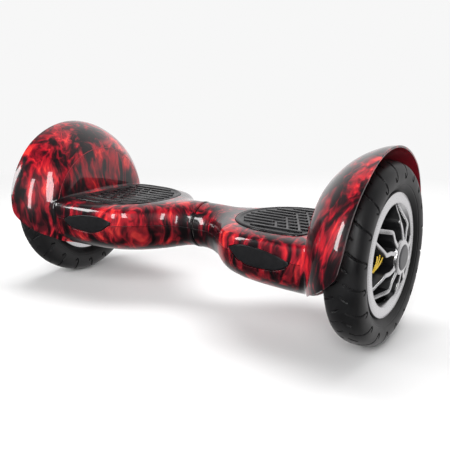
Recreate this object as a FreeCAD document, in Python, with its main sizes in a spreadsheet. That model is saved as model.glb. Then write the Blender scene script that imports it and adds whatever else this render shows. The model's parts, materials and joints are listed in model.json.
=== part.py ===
import FreeCAD, Part
import math
import os
import Sketcher

# Self balancing hoverboard with ten-inch wheels, in millimetres.
#
# +X runs along the axles to the right-hand wheel, -Y is the front with the two lamps, and +Z is up.
# The origin is on the floor, midway between the tyres. The two halves turn against each other on a
# hollow shaft between them, each on its own hub-motor wheel. Every piece is a node of its own.

V = FreeCAD.Vector
X_AXIS, Y_AXIS, Z_AXIS = V(1, 0, 0), V(0, 1, 0), V(0, 0, 1)
SIDES = (("right", 1), ("left", -1))

# name: (size, what it is)
SIZES = {
    "wheel_offset": (289.0, "from the middle of the board to the middle of a tyre"),
    "axle_height": (127.0, "axle above the floor, the tyre's own radius"),
    "axle_radius": (8.5, "axle where it is clamped and in the bearings"),
    "axle_inboard_end": (196.0, "inboard end of an axle from the middle of the board"),
    "tyre_half_width": (27.0, "half the width of a tyre"),
    "bead_seat_radius": (78.8, "tyre's seat on the rim"),
    "flange_radius": (86.0, "edge of the rim's lips"),
    "barrel_radius": (70.5, "inside of the rim's barrel"),
    "lip_face": (22.5, "face of the polished lip from the middle of the tyre"),
    "boss_radius": (24.3, "outside of the boss that the spokes meet"),
    "boss_face": (36.5, "front of the boss from the middle of the tyre"),
    "bearing_bore": (8.55, "bore of the wheel bearings, a running fit on the axle"),
    "bearing_radius": (17.5, "outside of the wheel bearings"),
    "bearing_width": (10.0, "width of a wheel bearing"),
    "cap_radius": (17.3, "black cap in the boss"),
    "web_face": (6.0, "front of the web behind the spokes"),
    "spoke_width": (5.0, "width of one arm of a spoke pair"),
    "stator_radius": (59.4, "outside of the stator's teeth"),
    "magnet_bore": (60.3, "inside of the magnet ring"),
    "tube_ring_radius": (102.0, "centre line of the inner tube"),
    "tube_section_radius": (16.5, "section of the inner tube"),
    "pivot_height": (124.5, "axis of the shaft between the halves"),
    "shaft_radius": (20.0, "outside of the hollow shaft"),
    "shaft_bore": (14.0, "inside of the hollow shaft"),
    "shaft_reach": (62.0, "each end of the shaft from the middle"),
    "socket_radius": (27.0, "tubes of the frames round the shaft"),
    "neck_radius": (36.0, "outside of the casing at the neck"),
    "wall": (3.0, "thickness of the plastic casings"),
    "seam_gap": (1.2, "half the gap between the halves' casings"),
    "parting_height": (124.5, "joint between upper and lower casings"),
    "parting_gap": (0.1, "half the gap at that joint"),
    "well_wall": (231.1, "inboard face of the wheel well's wall"),
    "well_face": (234.0, "outboard face of the wheel well's wall"),
    "fender_edge": (306.0, "open edge of a fender from the middle of the board"),
    "axle_hole_radius": (13.0, "hole for the axle in the casings"),
    "plate_underside": (131.0, "underside of a frame's deck plate"),
    "plate_thickness": (6.0, "thickness of a frame's deck plate"),
    "rib_foot": (112.0, "lower edge of a frame's ribs"),
    "mat_floor": (152.1, "floor of the recess for a foot mat"),
    "mat_underside": (153.9, "underside of a foot mat at rest"),
    "mat_top": (156.5, "top of a foot mat between its ribs"),
    "mat_rib_height": (0.9, "height of the ribs on a foot mat"),
    "mat_gap": (0.5, "gap round a foot mat"),
    "port_height": (110.0, "charging socket and power button above the floor"),
    "socket_x": (150.0, "charging socket from the middle of the board"),
    "button_x": (192.0, "power button from the middle of the board"),
    "plug_radius": (6.0, "bore of the charging socket"),
    "plug_depth": (12.0, "depth of that bore"),
    "button_radius": (8.0, "power button"),
    "travel_gap": (0.35, "gap round the power button"),
}

# Casing's cross-sections: from the middle, half width, top, bottom, fullness above and below
SECTIONS = (
    (0.0, 36.0, 160.5, 88.5, 2.0, 2.0),
    (12.0, 36.0, 160.5, 88.5, 2.0, 2.0),
    (24.0, 37.0, 160.2, 87.0, 2.1, 2.05),
    (45.0, 46.0, 158.0, 82.2, 2.5, 2.2),
    (65.0, 62.5, 156.8, 77.2, 3.0, 2.35),
    (85.0, 83.0, 156.3, 73.6, 3.8, 2.45),
    (105.0, 98.0, 156.1, 71.0, 4.7, 2.5),
    (130.0, 105.5, 156.0, 68.6, 5.4, 2.6),
    (160.0, 108.0, 156.0, 67.0, 5.8, 2.7),
    (200.0, 109.0, 156.0, 65.5, 6.0, 2.7),
    (240.0, 108.0, 156.0, 65.0, 6.0, 2.7),
)
POINTS_PER_QUARTER = 8

# Fender's outer profile, from where it leaves the deck: along X, radius about the axle
FENDER = ((226.0, 84.0), (229.0, 98.0), (233.5, 107.0), (241.0, 115.0), (252.0, 125.0),
          (266.0, 134.5), (280.0, 141.0), (293.0, 145.5), (306.0, 147.0))

# Fender's open edge seen from the front, from under the wheel well up past the top: along X, height
OPEN_EDGE = ((225.1, 73.2), (231.0, 77.5), (245.0, 88.5), (262.0, 99.5), (280.0, 114.0), (290.0, 124.5),
             (294.5, 133.0), (297.0, 144.0), (299.3, 156.0), (300.8, 172.0), (302.0, 190.0), (303.5, 215.0),
             (306.0, 250.0), (308.0, 290.0))

# Foot mat's outline: from its tip near the neck, round the corner, to the middle of its outer edge
MAT = ((76.0, 0.0), (78.0, 20.0), (85.0, 40.0), (95.0, 56.0), (110.0, 70.0), (128.0, 79.5), (148.0, 84.5),
       (170.0, 86.0), (192.0, 86.0), (207.5, 83.0), (215.5, 75.0), (218.0, 61.0), (218.5, 36.0), (218.5, 0.0))

# Lamp lens seen from the front: upper and lower edges from the inner to the outer tip
LENS_UPPER = ((110.0, 128.5), (134.0, 136.2), (165.0, 135.8), (195.0, 130.0), (214.0, 123.5))
LENS_LOWER = ((214.0, 123.5), (197.0, 112.0), (165.0, 107.8), (136.0, 111.5), (110.0, 128.5))

SPOKE_PAIRS = 5
SPOKE_PHASE = 2.0          # first pair's centre line, degrees from the rear, seen from outboard
# One arm of a pair: radius and degrees from the pair's centre line, from the barrel to the boss
SPOKE_ARM = ((71.0, 4.5), (48.0, 19.5), (37.0, 14.0), (23.0, 11.5))
STATOR_SLOTS = 27
VALVE_ANGLE = 186.0        # tyre valve, degrees from the rear, seen from outboard
TWIST_LIMIT = 12.0
STOP_RING = 28.8           # radius of the twist stop's pin about the shaft
STOP_PIN = 2.2             # radius of that pin
SCREW_SPOTS = ((120.0, 58.0, 76.3), (165.0, 58.0, 71.1), (205.0, 58.0, 69.6))

doc = FreeCAD.newDocument("Hoverboard")
sheet = doc.addObject("Spreadsheet::Sheet", "Sizes")
for row, (alias, (value, words)) in enumerate(SIZES.items(), start=1):
    sheet.set("A%d" % row, words)
    sheet.set("B%d" % row, str(value))
    sheet.setAlias("B%d" % row, alias)
doc.recompute()
nodes = []


def size(alias):
    """One driving dimension, read back from the sheet."""
    return float(sheet.get(alias))


def at(alias, plus=0.0, times=1.0):
    """A length tied to a cell: its value and the expression that keeps it."""
    return times * size(alias) + plus, "%g * Sizes.%s + %g" % (times, alias, plus)


def minus(length):
    """The same length the other way."""
    if isinstance(length, tuple):
        return -length[0], "-(%s)" % length[1]
    return -length


def number(length):
    return length[0] if isinstance(length, tuple) else float(length)


def bind(thing, field, length):
    """Set a property from a length, with its expression where it has one."""
    if isinstance(length, tuple):
        thing.setExpression(field, length[1])
    else:
        setattr(thing, field, length)


def node(thing, name):
    thing.Label = name
    nodes.append(thing)
    return thing


def plane(body, role):
    return [f for f in body.Origin.OriginFeatures if f.Role == role][0]


# ---------------------------------------------------------------- sketches and bodies

def outline(body, role, corners, name):
    """A closed sketch of straight edges whose corners are held by the sheet."""
    sketch = body.newObject("Sketcher::SketchObject", name)
    sketch.AttachmentSupport = [(plane(body, role), "")]
    sketch.MapMode = "FlatFace"
    spots = [V(number(a), number(b), 0) for a, b in corners]
    count = len(spots)
    for i in range(count):
        sketch.addGeometry(Part.LineSegment(spots[i], spots[(i + 1) % count]))
    for i in range(count):
        sketch.addConstraint(Sketcher.Constraint("Coincident", i, 2, (i + 1) % count, 1))
    for i, corner in enumerate(corners):
        for kind, length in zip(("DistanceX", "DistanceY"), corner):
            held = Sketcher.Constraint(kind, -1, 1, i, 1, number(length))
            index = sketch.addConstraint(held)
            if isinstance(length, tuple):
                sketch.setExpression("Constraints[%d]" % index, length[1])
    return sketch


def feature(body, kind, sketch, name):
    made = body.newObject("PartDesign::" + kind, name)
    made.Profile = sketch
    if kind in ("Revolution", "Groove"):
        made.ReferenceAxis = (sketch, ["H_Axis"])
    return made


def turned(name, corners, centre, side=1):
    """A body turned about its own X axis, set down with its centre at a place.

    Corners are (along the axis, radius), with the axis pointing outboard."""
    body = doc.addObject("PartDesign::Body", name)
    feature(body, "Revolution", outline(body, "XZ_Plane", corners, name + "_profile"), name + "_turned")
    body.Placement = FreeCAD.Placement(centre, facing(side))
    return node(body, name)


def repeated(body, original, count):
    """The same feature again round the body's X axis."""
    pattern = body.newObject("PartDesign::PolarPattern", original.Name + "_ring")
    pattern.Originals = [original]
    pattern.Axis = (plane(body, "X_Axis"), [""])
    pattern.Angle = 360
    pattern.Occurrences = count
    body.Tip = pattern
    return pattern


# ---------------------------------------------------------------- primitives

def box(name, x_span, y_span, z_span):
    made = doc.addObject("Part::Box", name)
    for field, span in zip(("Length", "Width", "Height"), (x_span, y_span, z_span)):
        setattr(made, field, span[1] - span[0])
    made.Placement.Base = V(x_span[0], y_span[0], z_span[0])
    return made


def rod(name, radius, length, base, along=X_AXIS):
    """A cylinder from a base point along a direction."""
    made = doc.addObject("Part::Cylinder", name)
    bind(made, "Radius", radius)
    bind(made, "Height", length)
    made.Placement = FreeCAD.Placement(base, FreeCAD.Rotation(Z_AXIS, along))
    return made


def joined(name, things):
    made = doc.addObject("Part::MultiFuse", name)
    made.Shapes = things
    return made


def less(name, base, tools):
    made = doc.addObject("Part::Cut", name)
    made.Base = base
    made.Tool = tools[0] if len(tools) == 1 else joined(name + "_cutters", tools)
    return made


def span(side, near, far):
    """A stretch of X from near to far of the middle, on either side."""
    return tuple(sorted((side * near, side * far)))


def low(side, near, far):
    return span(side, near, far)[0]


def solid(name, shape):
    """A node whose surfaces are freeform."""
    made = doc.addObject("Part::Feature", name)
    made.Shape = shape
    return node(made, name)


def group(name, shapes):
    """Identical pieces that share one node."""
    return solid(name, Part.makeCompound(shapes))


# ---------------------------------------------------------------- wheels

def wheel_centre(side):
    return V(side * size("wheel_offset"), 0, size("axle_height"))


def facing(side):
    """Both wheels are the same part, and the left-hand one is turned to face the other way."""
    return FreeCAD.Rotation(Z_AXIS, 0 if side > 0 else 180)


def set_in_wheel(shape, side, degrees=0.0):
    """Place a shape made in a wheel's own frame, turned by so many degrees about the axle."""
    shape.rotate(V(0, 0, 0), X_AXIS, degrees)
    shape.rotate(V(0, 0, 0), Z_AXIS, 0 if side > 0 else 180)
    shape.translate(wheel_centre(side))
    return shape


def tyre(word, side):
    half = "tyre_half_width"
    bead = at("bead_seat_radius", 0.1)
    hollow = [(0, 120.6), (7, 120.3), (13.5, 118), (18.5, 113.5), (20.5, 106.5), (19.5, 100), (15, 93),
              (10.5, 87), (10, bead)]
    wall = [(at(half, -11.3), bead), (at(half, -11.0), 87.5), (at(half, -6), 91), (at(half, -1.5), 98),
            (at(half), 106), (at(half, -1.6), 114.5), (at(half, -6), 121), (at(half, -15), 125.4)]
    profile = hollow + wall + [(0, at("axle_height"))]
    inboard = [(minus(a), b) for a, b in reversed(wall)] + [(minus(a), b) for a, b in reversed(hollow[1:])]
    turned("tyre_" + word, profile + inboard, wheel_centre(side), side)


def inner_tube(word, side):
    ring = doc.addObject("Part::Torus", "inner_tube_" + word)
    bind(ring, "Radius1", at("tube_ring_radius"))
    bind(ring, "Radius2", at("tube_section_radius"))
    ring.Placement = FreeCAD.Placement(wheel_centre(side), FreeCAD.Rotation(Z_AXIS, X_AXIS))
    node(ring, "inner_tube_" + word)


def spoke_outline(way):
    """One dog-leg arm, as corners seen along the axle."""
    half = size("spoke_width") / 2
    line = []
    for radius, degrees in SPOKE_ARM:
        turn = math.radians(SPOKE_PHASE + way * degrees)
        line.append(V(radius * math.cos(turn), radius * math.sin(turn), 0))
    normals = []
    for start, end in zip(line, line[1:]):
        run = (end - start).normalize()
        normals.append(V(-run.y, run.x, 0))
    near, far = [], []
    for i, spot in enumerate(line):
        before, after = normals[max(i - 1, 0)], normals[min(i, len(normals) - 1)]
        across = (before + after) * (half / (1 + before.dot(after)))
        near.append(spot + across)
        far.append(spot - across)
    return [(p.x, p.y) for p in near + far[::-1]]


def rim(word, side):
    """Cast wheel: barrel, lips, web and boss turned in one, then five pairs of dog-leg spokes."""
    seat = at("bead_seat_radius")
    barrel = at("barrel_radius")
    lip = "lip_face"
    corners = [(minus(at(lip, -1.5)), barrel), (2.5, barrel), (2.5, at("bearing_radius", 0.05)),
               (at("boss_face", -16.5), at("bearing_radius", 0.05)), (at("boss_face", -16.5), 14),
               (at("boss_face", -3), 14), (at("boss_face", -3), at("cap_radius")),
               (at("boss_face"), at("cap_radius")), (at("boss_face"), at("boss_radius", -3.3)),
               (at("boss_face", -1.6), at("boss_radius", -1)), (at("boss_face", -5), at("boss_radius")),
               (at("web_face"), at("boss_radius")), (at("web_face"), barrel), (at(lip, -0.8), barrel),
               (at(lip), at("flange_radius", -13)), (at(lip, -0.6), at("flange_radius", -4.5)),
               (at(lip, -2), at("flange_radius")), (at(lip, -5.3), at("flange_radius")),
               (at(lip, -6.4), seat), (minus(at(lip, -6.4)), seat),
               (minus(at(lip, -5.3)), at("flange_radius", -1.5)),
               (minus(at(lip, -2.5)), at("flange_radius", -1.5))]
    body = doc.addObject("PartDesign::Body", "rim_" + word)
    web = [(2.5, at("bearing_radius", 2)), (at("web_face"), at("bearing_radius", 2)),
           (at("web_face"), barrel), (2.5, barrel)]
    feature(body, "Revolution", outline(body, "XZ_Plane", web, "web_profile_" + word), "web_" + word)
    for way, arm in ((1, "leading"), (-1, "trailing")):
        sketch = outline(body, "YZ_Plane", spoke_outline(way), "spoke_%s_%s" % (arm, word))
        sketch.AttachmentOffset = FreeCAD.Placement(V(0, 0, 4), FreeCAD.Rotation())
        pad = feature(body, "Pad", sketch, "spoke_pad_%s_%s" % (arm, word))
        bind(pad, "Length", at("boss_face", -6))
        doc.recompute()
        repeated(body, pad, SPOKE_PAIRS)
        doc.recompute()
    outside = at("flange_radius", -8)
    face = [(14, outside), (14, barrel), (30, 48.5), (at("boss_face", -2.6), 24.0), (at("boss_face", -2.4), 15),
            (at("boss_face", 4), 15), (at("boss_face", 4), outside)]
    feature(body, "Groove", outline(body, "XZ_Plane", face, "spoke_face_" + word), "spoke_cone_" + word)
    doc.recompute()
    whole = feature(body, "Revolution", outline(body, "XZ_Plane", corners, "rim_profile_" + word),
                    "rim_turned_" + word)
    body.Tip = whole
    body.Placement = FreeCAD.Placement(wheel_centre(side), facing(side))
    node(body, "rim_" + word)


def hub_motor(word, side):
    """Magnet ring and inboard cover, which turn with the wheel, and the stator, which doesn't."""
    centre = wheel_centre(side)
    turned("magnet_ring_" + word, [(-19, at("magnet_bore")), (1.5, at("magnet_bore")),
                                   (1.5, at("barrel_radius")), (-19, at("barrel_radius"))], centre, side)
    seat = at("bearing_radius", 0.05)
    turned("motor_cover_" + word, [(-25, seat), (-25, 30), (-23, 34), (-23.6, 72), (-21.3, 74), (-21.05, 74),
                                   (-21.05, 30), (-14.5, 25), (-14.5, seat)], centre, side)
    stator = doc.addObject("PartDesign::Body", "stator_" + word)
    ring = [(-14, at("axle_radius")), (0, at("axle_radius")), (0, at("stator_radius")),
            (-14, at("stator_radius"))]
    feature(stator, "Revolution", outline(stator, "XZ_Plane", ring, "stator_profile_" + word),
            "stator_turned_" + word)
    slot = outline(stator, "YZ_Plane", [(34, -2.2), (56, -3.4), (56, 3.4), (34, 2.2)], "slot_" + word)
    cut = feature(stator, "Pocket", slot, "slot_cut_" + word)
    cut.Type = "ThroughAll"
    cut.Midplane = True
    doc.recompute()
    repeated(stator, cut, STATOR_SLOTS)
    stator.Placement = FreeCAD.Placement(centre, facing(side))
    node(stator, "stator_" + word)
    coils = []
    for i in range(STATOR_SLOTS):
        coil = Part.makeBox(17.5, 20.0, 4.0, V(-16.0, 35.0, -2.0))
        coils.append(set_in_wheel(coil, side, i * 360.0 / STATOR_SLOTS))
    group("windings_" + word, coils)


def bearings(word, side):
    rings = []
    for inboard in (8.0, -24.6):
        ring = Part.makeCylinder(size("bearing_radius"), size("bearing_width"), V(inboard, 0, 0), X_AXIS)
        bore = Part.makeCylinder(size("bearing_bore"), size("bearing_width"), V(inboard, 0, 0), X_AXIS)
        rings.append(set_in_wheel(ring.cut(bore), side))
    group("bearings_" + word, rings)


def wheel_trim(word, side):
    """Cap in the boss, screws of the motor's cover, and the tyre's valve."""
    cap = size("cap_radius")
    turned("hub_cap_" + word, [(33.5, 0), (at("boss_face", 1.6), 0), (at("boss_face", 1.3), cap - 3),
                               (at("boss_face", 0.6), cap - 0.6), (at("boss_face"), at("cap_radius")),
                               (33.5, at("cap_radius"))], wheel_centre(side), side)
    screws = []
    for i in range(6):
        head = Part.makeCylinder(3.2, 2.3, V(-25.9, 0, 66), X_AXIS)
        key = Part.makeCylinder(1.5, 1.4, V(-26.0, 0, 66), X_AXIS)
        screws.append(set_in_wheel(head.cut(key), side, 60 * i + 30))
    group("cover_screws_" + word, screws)
    foot = size("barrel_radius") - 10
    stem = Part.makeCylinder(3.9, 9.85, V(13, 0, foot), Z_AXIS)
    neck = Part.makeCylinder(2.6, 8, V(13, 0, foot - 8), Z_AXIS)
    cap = Part.makeCylinder(3.6, 7, V(13, 0, foot - 15), Z_AXIS)
    solid("valve_stem_" + word, set_in_wheel(stem.fuse([neck, cap]), side, VALVE_ANGLE - 90))


def axle(word, side):
    """Fixed axle, with a collar that keeps the inboard bearing in its place."""
    start = size("axle_inboard_end") - size("wheel_offset")
    turned("axle_" + word, [(start, 0), (19, 0), (19, at("axle_radius")), (-25.3, at("axle_radius")),
                            (-25.3, 10.5), (-36, 10.5), (-36, at("axle_radius")),
                            (start, at("axle_radius"))], wheel_centre(side), side)


# ---------------------------------------------------------------- casings

def section(x, half, top, bottom, fuller_above, fuller_below, inset):
    """A closed cross-section of the casing, drawn in by an inset."""
    middle = size("parting_height")
    quarters = ((1, top - middle, fuller_above), (-1, top - middle, fuller_above),
                (-1, middle - bottom, fuller_below), (1, middle - bottom, fuller_below))
    fine = 90
    spots = []
    for index, (way, rise, power) in enumerate(quarters):
        up = 1 if index < 2 else -1
        run = []
        for k in range(fine + 1):
            turn = math.pi / 2 * k / fine
            run.append(V(x, way * (half - inset) * math.cos(turn) ** (2 / power),
                         middle + up * (rise - inset) * math.sin(turn) ** (2 / power)))
        if index in (1, 3):
            run.reverse()
        lengths = [0.0]
        for a, b in zip(run, run[1:]):
            lengths.append(lengths[-1] + a.distanceToPoint(b))
        for k in range(POINTS_PER_QUARTER):
            wanted = lengths[-1] * k / POINTS_PER_QUARTER
            nearest = min(range(fine + 1), key=lambda i: abs(lengths[i] - wanted))
            spots.append(run[nearest])
    curve = Part.BSplineCurve()
    curve.interpolate(Points=spots, PeriodicFlag=True)
    return Part.Wire([curve.toShape()])


def casing_solid(start, end, inset=0.0):
    """The casing's outer form from one place along X to another, or the room inside it."""
    rows = [row for row in SECTIONS if start < row[0] < end]
    rows = [(start,) + rows[0][1:]] + rows + [(end,) + rows[-1][1:]]
    return Part.makeLoft([section(*row, inset) for row in rows], True, False)


def spun(profile):
    """A solid spun about the axle's line from a profile of (along X, radius), the ends closed."""
    axis_height = size("axle_height")
    spots = [V(x, 0, axis_height + r) for x, r in profile]
    curve = Part.BSplineCurve()
    curve.interpolate(Points=spots)
    first, last = V(spots[0].x, 0, axis_height), V(spots[-1].x, 0, axis_height)
    wire = Part.Wire([Part.makeLine(first, spots[0]), curve.toShape(), Part.makeLine(spots[-1], last),
                      Part.makeLine(last, first)])
    return Part.Face(wire).revolve(V(0, 0, axis_height), X_AXIS, 360)


def below_fender():
    """Everything under and outboard of the fender's open edge."""
    foot, head = OPEN_EDGE[0], OPEN_EDGE[-1]
    corners = [V(x, -170, z) for x, z in OPEN_EDGE]
    corners += [V(340, -170, head[1]), V(340, -170, -60), V(foot[0], -170, -60)]
    return Part.Face(Part.makePolygon(corners + corners[:1])).extrude(V(0, 340, 0))


def grown(points, distance):
    """A closed run of points, clockwise or not, each moved outward from its neighbours' chord."""
    count = len(points)
    area = sum(points[i - 1][0] * points[i][1] - points[i][0] * points[i - 1][1] for i in range(count))
    way = distance if area > 0 else -distance
    moved = []
    for i in range(count):
        (ax, ay), (bx, by) = points[i - 1], points[(i + 1) % count]
        chord = math.hypot(bx - ax, by - ay)
        moved.append((points[i][0] + way * (by - ay) / chord, points[i][1] - way * (bx - ax) / chord))
    return moved


def spline(spots, closed=False):
    curve = Part.BSplineCurve()
    curve.interpolate(Points=spots, PeriodicFlag=closed)
    return curve.toShape()


def mat_block(grow, low_z, high_z):
    """The foot mat's outline, grown by a distance, from one height to another."""
    loop = list(MAT) + [(x, -y) for x, y in reversed(MAT[1:-1])]
    wire = Part.Wire([spline([V(x, y, low_z) for x, y in grown(loop, grow)], True)])
    return Part.Face(wire).extrude(V(0, 0, high_z - low_z))


def lens_block(grow):
    """The lamp's outline, run through the casing's front."""
    loop = grown(list(LENS_UPPER[:-1]) + list(LENS_LOWER[:-1]), grow)
    tip = len(LENS_UPPER) - 1
    spots = [V(x, -125, z) for x, z in loop]
    wire = Part.Wire([spline(spots[:tip + 1]), spline(spots[tip:] + spots[:1])])
    return Part.Face(wire).extrude(V(0, 40, 0))


def rear_rod(x, radius, depth_from, depth_to):
    """A cylinder along Y through the casing's rear, at the height of the port and the button."""
    return Part.makeCylinder(radius, depth_to - depth_from, V(x, depth_from, size("port_height")), Y_AXIS)


def screw_places():
    return [(x, way * y, z) for x, y, z in SCREW_SPOTS for way in (1, -1)]


def casings():
    """Upper casing with its fender, lower casing, lens and mat for the right-hand half."""
    wall = size("wall")
    split, gap = size("parting_height"), size("parting_gap")
    well, face = size("well_wall"), size("well_face")
    seam = size("seam_gap")
    whole = casing_solid(seam, 240.0)
    room = casing_solid(seam - 4, well, wall)
    upper_half = Part.makeBox(260, 400, 300, V(-10, -200, split + gap))
    lower_half = Part.makeBox(well - gap + 10, 400, 300, V(-10, -200, split - gap - 300))
    dome = spun(FENDER).cut(below_fender())
    hollow = spun([(face, 104.0)] + [(x + 0.6, r - wall) for x, r in FENDER[3:-1]] + [(320.0, 144.6)])
    inner_bottom = casing_solid(seam - 4, well - wall - gap, wall)
    axle_hole = Part.makeCylinder(size("axle_hole_radius"), 60, V(200, 0, size("axle_height")), X_AXIS)
    lamp = lens_block(0.3)

    root = whole.common(Part.makeBox(20, 400, 300, V(well, -200, -60))).cut(below_fender())
    under = Part.makeBox(well + 10, 400, 300, V(-10, -200, split + gap - 300))
    top = whole.common(upper_half).fuse([dome.cut(under), root])
    ledge = mat_block(5.0, size("mat_floor") - 3, size("mat_top")).common(whole)
    top = top.cut([room, hollow]).fuse(ledge.cut(hollow))
    top = top.cut([mat_block(size("mat_gap"), size("mat_floor"), 170), mat_block(-7.0, 130, 170), lamp,
                   axle_hole])
    bottom = whole.common(lower_half).cut(inner_bottom)
    screw_holes = [Part.makeCylinder(3.7, 20, V(x, y, z - 8)) for x, y, z in screw_places()]
    bottom = bottom.cut([lamp, axle_hole] + screw_holes)
    skin = casing_solid(seam, 240.0, 0.2).cut(casing_solid(seam - 4, 242.0, wall))
    lens = lens_block(-0.05).common(skin)
    return top, bottom, lens


def mirrored(shape, side):
    """Casings and what they hold are handed, so the left-hand ones are reflections."""
    return shape if side > 0 else shape.mirror(V(0, 0, 0), X_AXIS)


def casing_nodes():
    top, bottom, lens = casings()
    ports = [rear_rod(size("socket_x"), 9.3, 90, 125),
             rear_rod(size("button_x"), size("button_radius") + size("travel_gap"), 90, 125)]
    rebate = Part.makeCylinder(42, 5.4, V(-7.2, 0, size("pivot_height")), X_AXIS).cut(
        Part.makeCylinder(34.4, 5.4, V(-7.2, 0, size("pivot_height")), X_AXIS))
    solid("top_shell_right", top)
    solid("bottom_shell_right", bottom.cut(ports))
    solid("top_shell_left", mirrored(top, -1).cut(rebate))
    solid("bottom_shell_left", mirrored(bottom, -1).cut(rebate))
    for word, side in SIDES:
        solid("led_lens_" + word, mirrored(lens, side))
        screws = []
        for x, y, z in screw_places():
            head = Part.makeCylinder(3.4, 2.5, V(side * x, y, z + 0.6))
            key = Part.makeCylinder(1.6, 1.3, V(side * x, y, z + 0.5))
            shank = Part.makeCylinder(1.8, size("plate_underside") - z - 3.1, V(side * x, y, z + 3.1))
            screws.append(head.fuse(shank).cut(key))
        group("shell_screws_" + word, screws)


def foot_mat(word, side):
    """Rubber mat with ribs along it, and two blades under it that reach the foot switches."""
    top, rib = size("mat_top"), size("mat_rib_height")
    mat = mat_block(0, size("mat_underside"), top)
    field = mat_block(-10.0, top - 0.5, top + rib)
    ribs = [Part.makeBox(150, 5.0, rib + 0.5, V(66, y - 2.5, top - 0.5)).common(field)
            for y in range(-64, 65, 16)]
    blades = [Part.makeBox(2.0, 12.0, size("mat_underside") - 145 + 0.5, V(149, way * 60 - 6, 145))
              for way in (1, -1)]
    solid("foot_mat_" + word, mirrored(mat.fuse(ribs + blades).removeSplitter(), side))


# ---------------------------------------------------------------- frames and the shaft between them

def frame(word, side):
    """Cast frame: socket for the shaft, deck plate, ribs and the upper half of the axle clamp."""
    pivot = V(0, 0, size("pivot_height"))
    low_z = size("plate_underside")
    high_z = low_z + size("plate_thickness")
    reach = {1: 62.0, -1: 57.0}[side]
    bore = {1: size("shaft_radius"), -1: size("shaft_radius") + 3.0}[side]
    name = "frame_" + word
    tube = rod(name + "_tube", at("socket_radius"), reach - 7, pivot + V(low(side, 7, reach), 0, 0))
    flange = rod(name + "_flange", at("neck_radius", -3.4), 4.0, pivot + V(low(side, 4, 8), 0, 0))
    parts = [tube, flange,
             box(name + "_deck", span(side, 112, 223), (-78, 78), (low_z, high_z)),
             box(name + "_neck_plate", span(side, 56, 113), (-40, 40), (low_z, high_z)),
             box(name + "_seat", span(side, 197, 223), (-24, 24), (size("axle_height"), high_z))]
    for way in (1, -1):
        parts.append(box(name + "_rib%d" % way, span(side, 80, 200), sorted((way * 47, way * 52)),
                         (size("rib_foot"), low_z + 1)))
        parts.append(box(name + "_web%d" % way, span(side, 30, 94), sorted((way * 18, way * 24)),
                         (size("rib_foot"), low_z + 1)))
    cutters = [rod(name + "_bore", bore, 70.0, pivot + V(low(side, 0, 70), 0, 0)),
               rod(name + "_axle_groove", at("axle_radius"), 60.0, V(low(side, 190, 250), 0, size("axle_height")))]
    for i, (x, y) in enumerate(clamp_screw_places()):
        cutters.append(rod(name + "_screw%d" % i, 3.05, 12.0, V(side * x, y, 122.5), Z_AXIS))
    if side > 0:
        sweep = 2 * (TWIST_LIMIT + math.degrees(STOP_PIN / STOP_RING) + 0.5)
        sector = rod(name + "_slot_outer", STOP_RING + 2.5, 5.0, pivot + V(3.5, 0, 0))
        sector.Angle = sweep
        upright = FreeCAD.Rotation(Z_AXIS, V(0, -1, 0), X_AXIS, "ZXY")
        sector.Placement = FreeCAD.Placement(pivot + V(3.5, 0, 0),
                                             FreeCAD.Rotation(X_AXIS, -sweep / 2).multiply(upright))
        inner = rod(name + "_slot_inner", STOP_RING - 2.5, 6.0, pivot + V(3.0, 0, 0))
        cutters.append(less(name + "_slot", sector, [inner]))
    else:
        cutters.append(rod(name + "_pin_hole", STOP_PIN, 5.0, pivot + V(-8.5, 0, STOP_RING)))
        cutters.append(rod(name + "_ring_room", 28.0, 8.0, pivot + V(-65.0, 0, 0)))
    node(less(name, joined(name + "_casting", parts), cutters), name)


def clamp_screw_places():
    return [(x, y) for x in (203.0, 217.0) for y in (-17.0, 17.0)]


def axle_clamp(word, side):
    name = "axle_clamp_" + word
    block = box(name + "_block", span(side, 198, 222), (-24, 24), (111, size("axle_height") - 0.5))
    cutters = [rod(name + "_groove", at("axle_radius"), 60.0, V(low(side, 190, 250), 0, size("axle_height")))]
    screws = []
    for i, (x, y) in enumerate(clamp_screw_places()):
        cutters.append(rod(name + "_hole%d" % i, 3.05, 20.0, V(side * x, y, 108), Z_AXIS))
        shank = Part.makeCylinder(3.0, 23, V(side * x, y, 111))
        head = Part.makeCylinder(5.0, 4, V(side * x, y, 107))
        screws.append(head.fuse(shank).cut(Part.makeCylinder(2.3, 2.2, V(side * x, y, 106.9))))
    node(less(name, block, cutters), name)
    group("clamp_screws_" + word, screws)


def pivot():
    """Hollow shaft, the bushes it turns in, its retaining ring, and the pin that stops the twist."""
    centre = V(0, 0, size("pivot_height"))
    reach, outside, inside = size("shaft_reach"), at("shaft_radius"), at("shaft_bore")
    groove = at("shaft_radius", -1.4)
    turned("pivot_shaft", [(-reach, inside), (reach, inside), (reach, outside), (-59.2, outside), (-59.2, groove),
                           (-60.9, groove), (-60.9, outside), (-reach, outside)], centre)
    running = at("shaft_radius", 0.05)
    fixed = at("shaft_radius", 3.0)
    turned("pivot_bush_inner", [(-26, running), (-9, running), (-9, fixed), (-26, fixed)], centre)
    turned("pivot_bush_outer", [(-58.7, running), (-40, running), (-40, fixed), (-57.05, fixed), (-57.05, 26.5),
                                (-58.7, 26.5)], centre)
    turned("retaining_ring", [(-60.8, groove), (-59.3, groove), (-59.3, 24), (-60.8, 24)], centre)
    turned("thrust_washer", [(-3.95, 20.4), (3.6, 20.4), (3.6, 25.5), (-3.95, 25.5)], centre)
    turned("seam_ring", [(-7.0, 34.5), (-2.0, 34.5), (-2.0, 36.4), (-3.0, 37.0), (-6.0, 37.0), (-7.0, 36.4)],
           centre)
    pin = rod("twist_stop_pin", STOP_PIN, 15.0, centre + V(-8.0, 0, STOP_RING))
    node(pin, "twist_stop_pin")
    harness = rod("pivot_harness", 6.0, 170.0, centre - V(85, 0, 0))
    node(harness, "pivot_harness")


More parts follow.
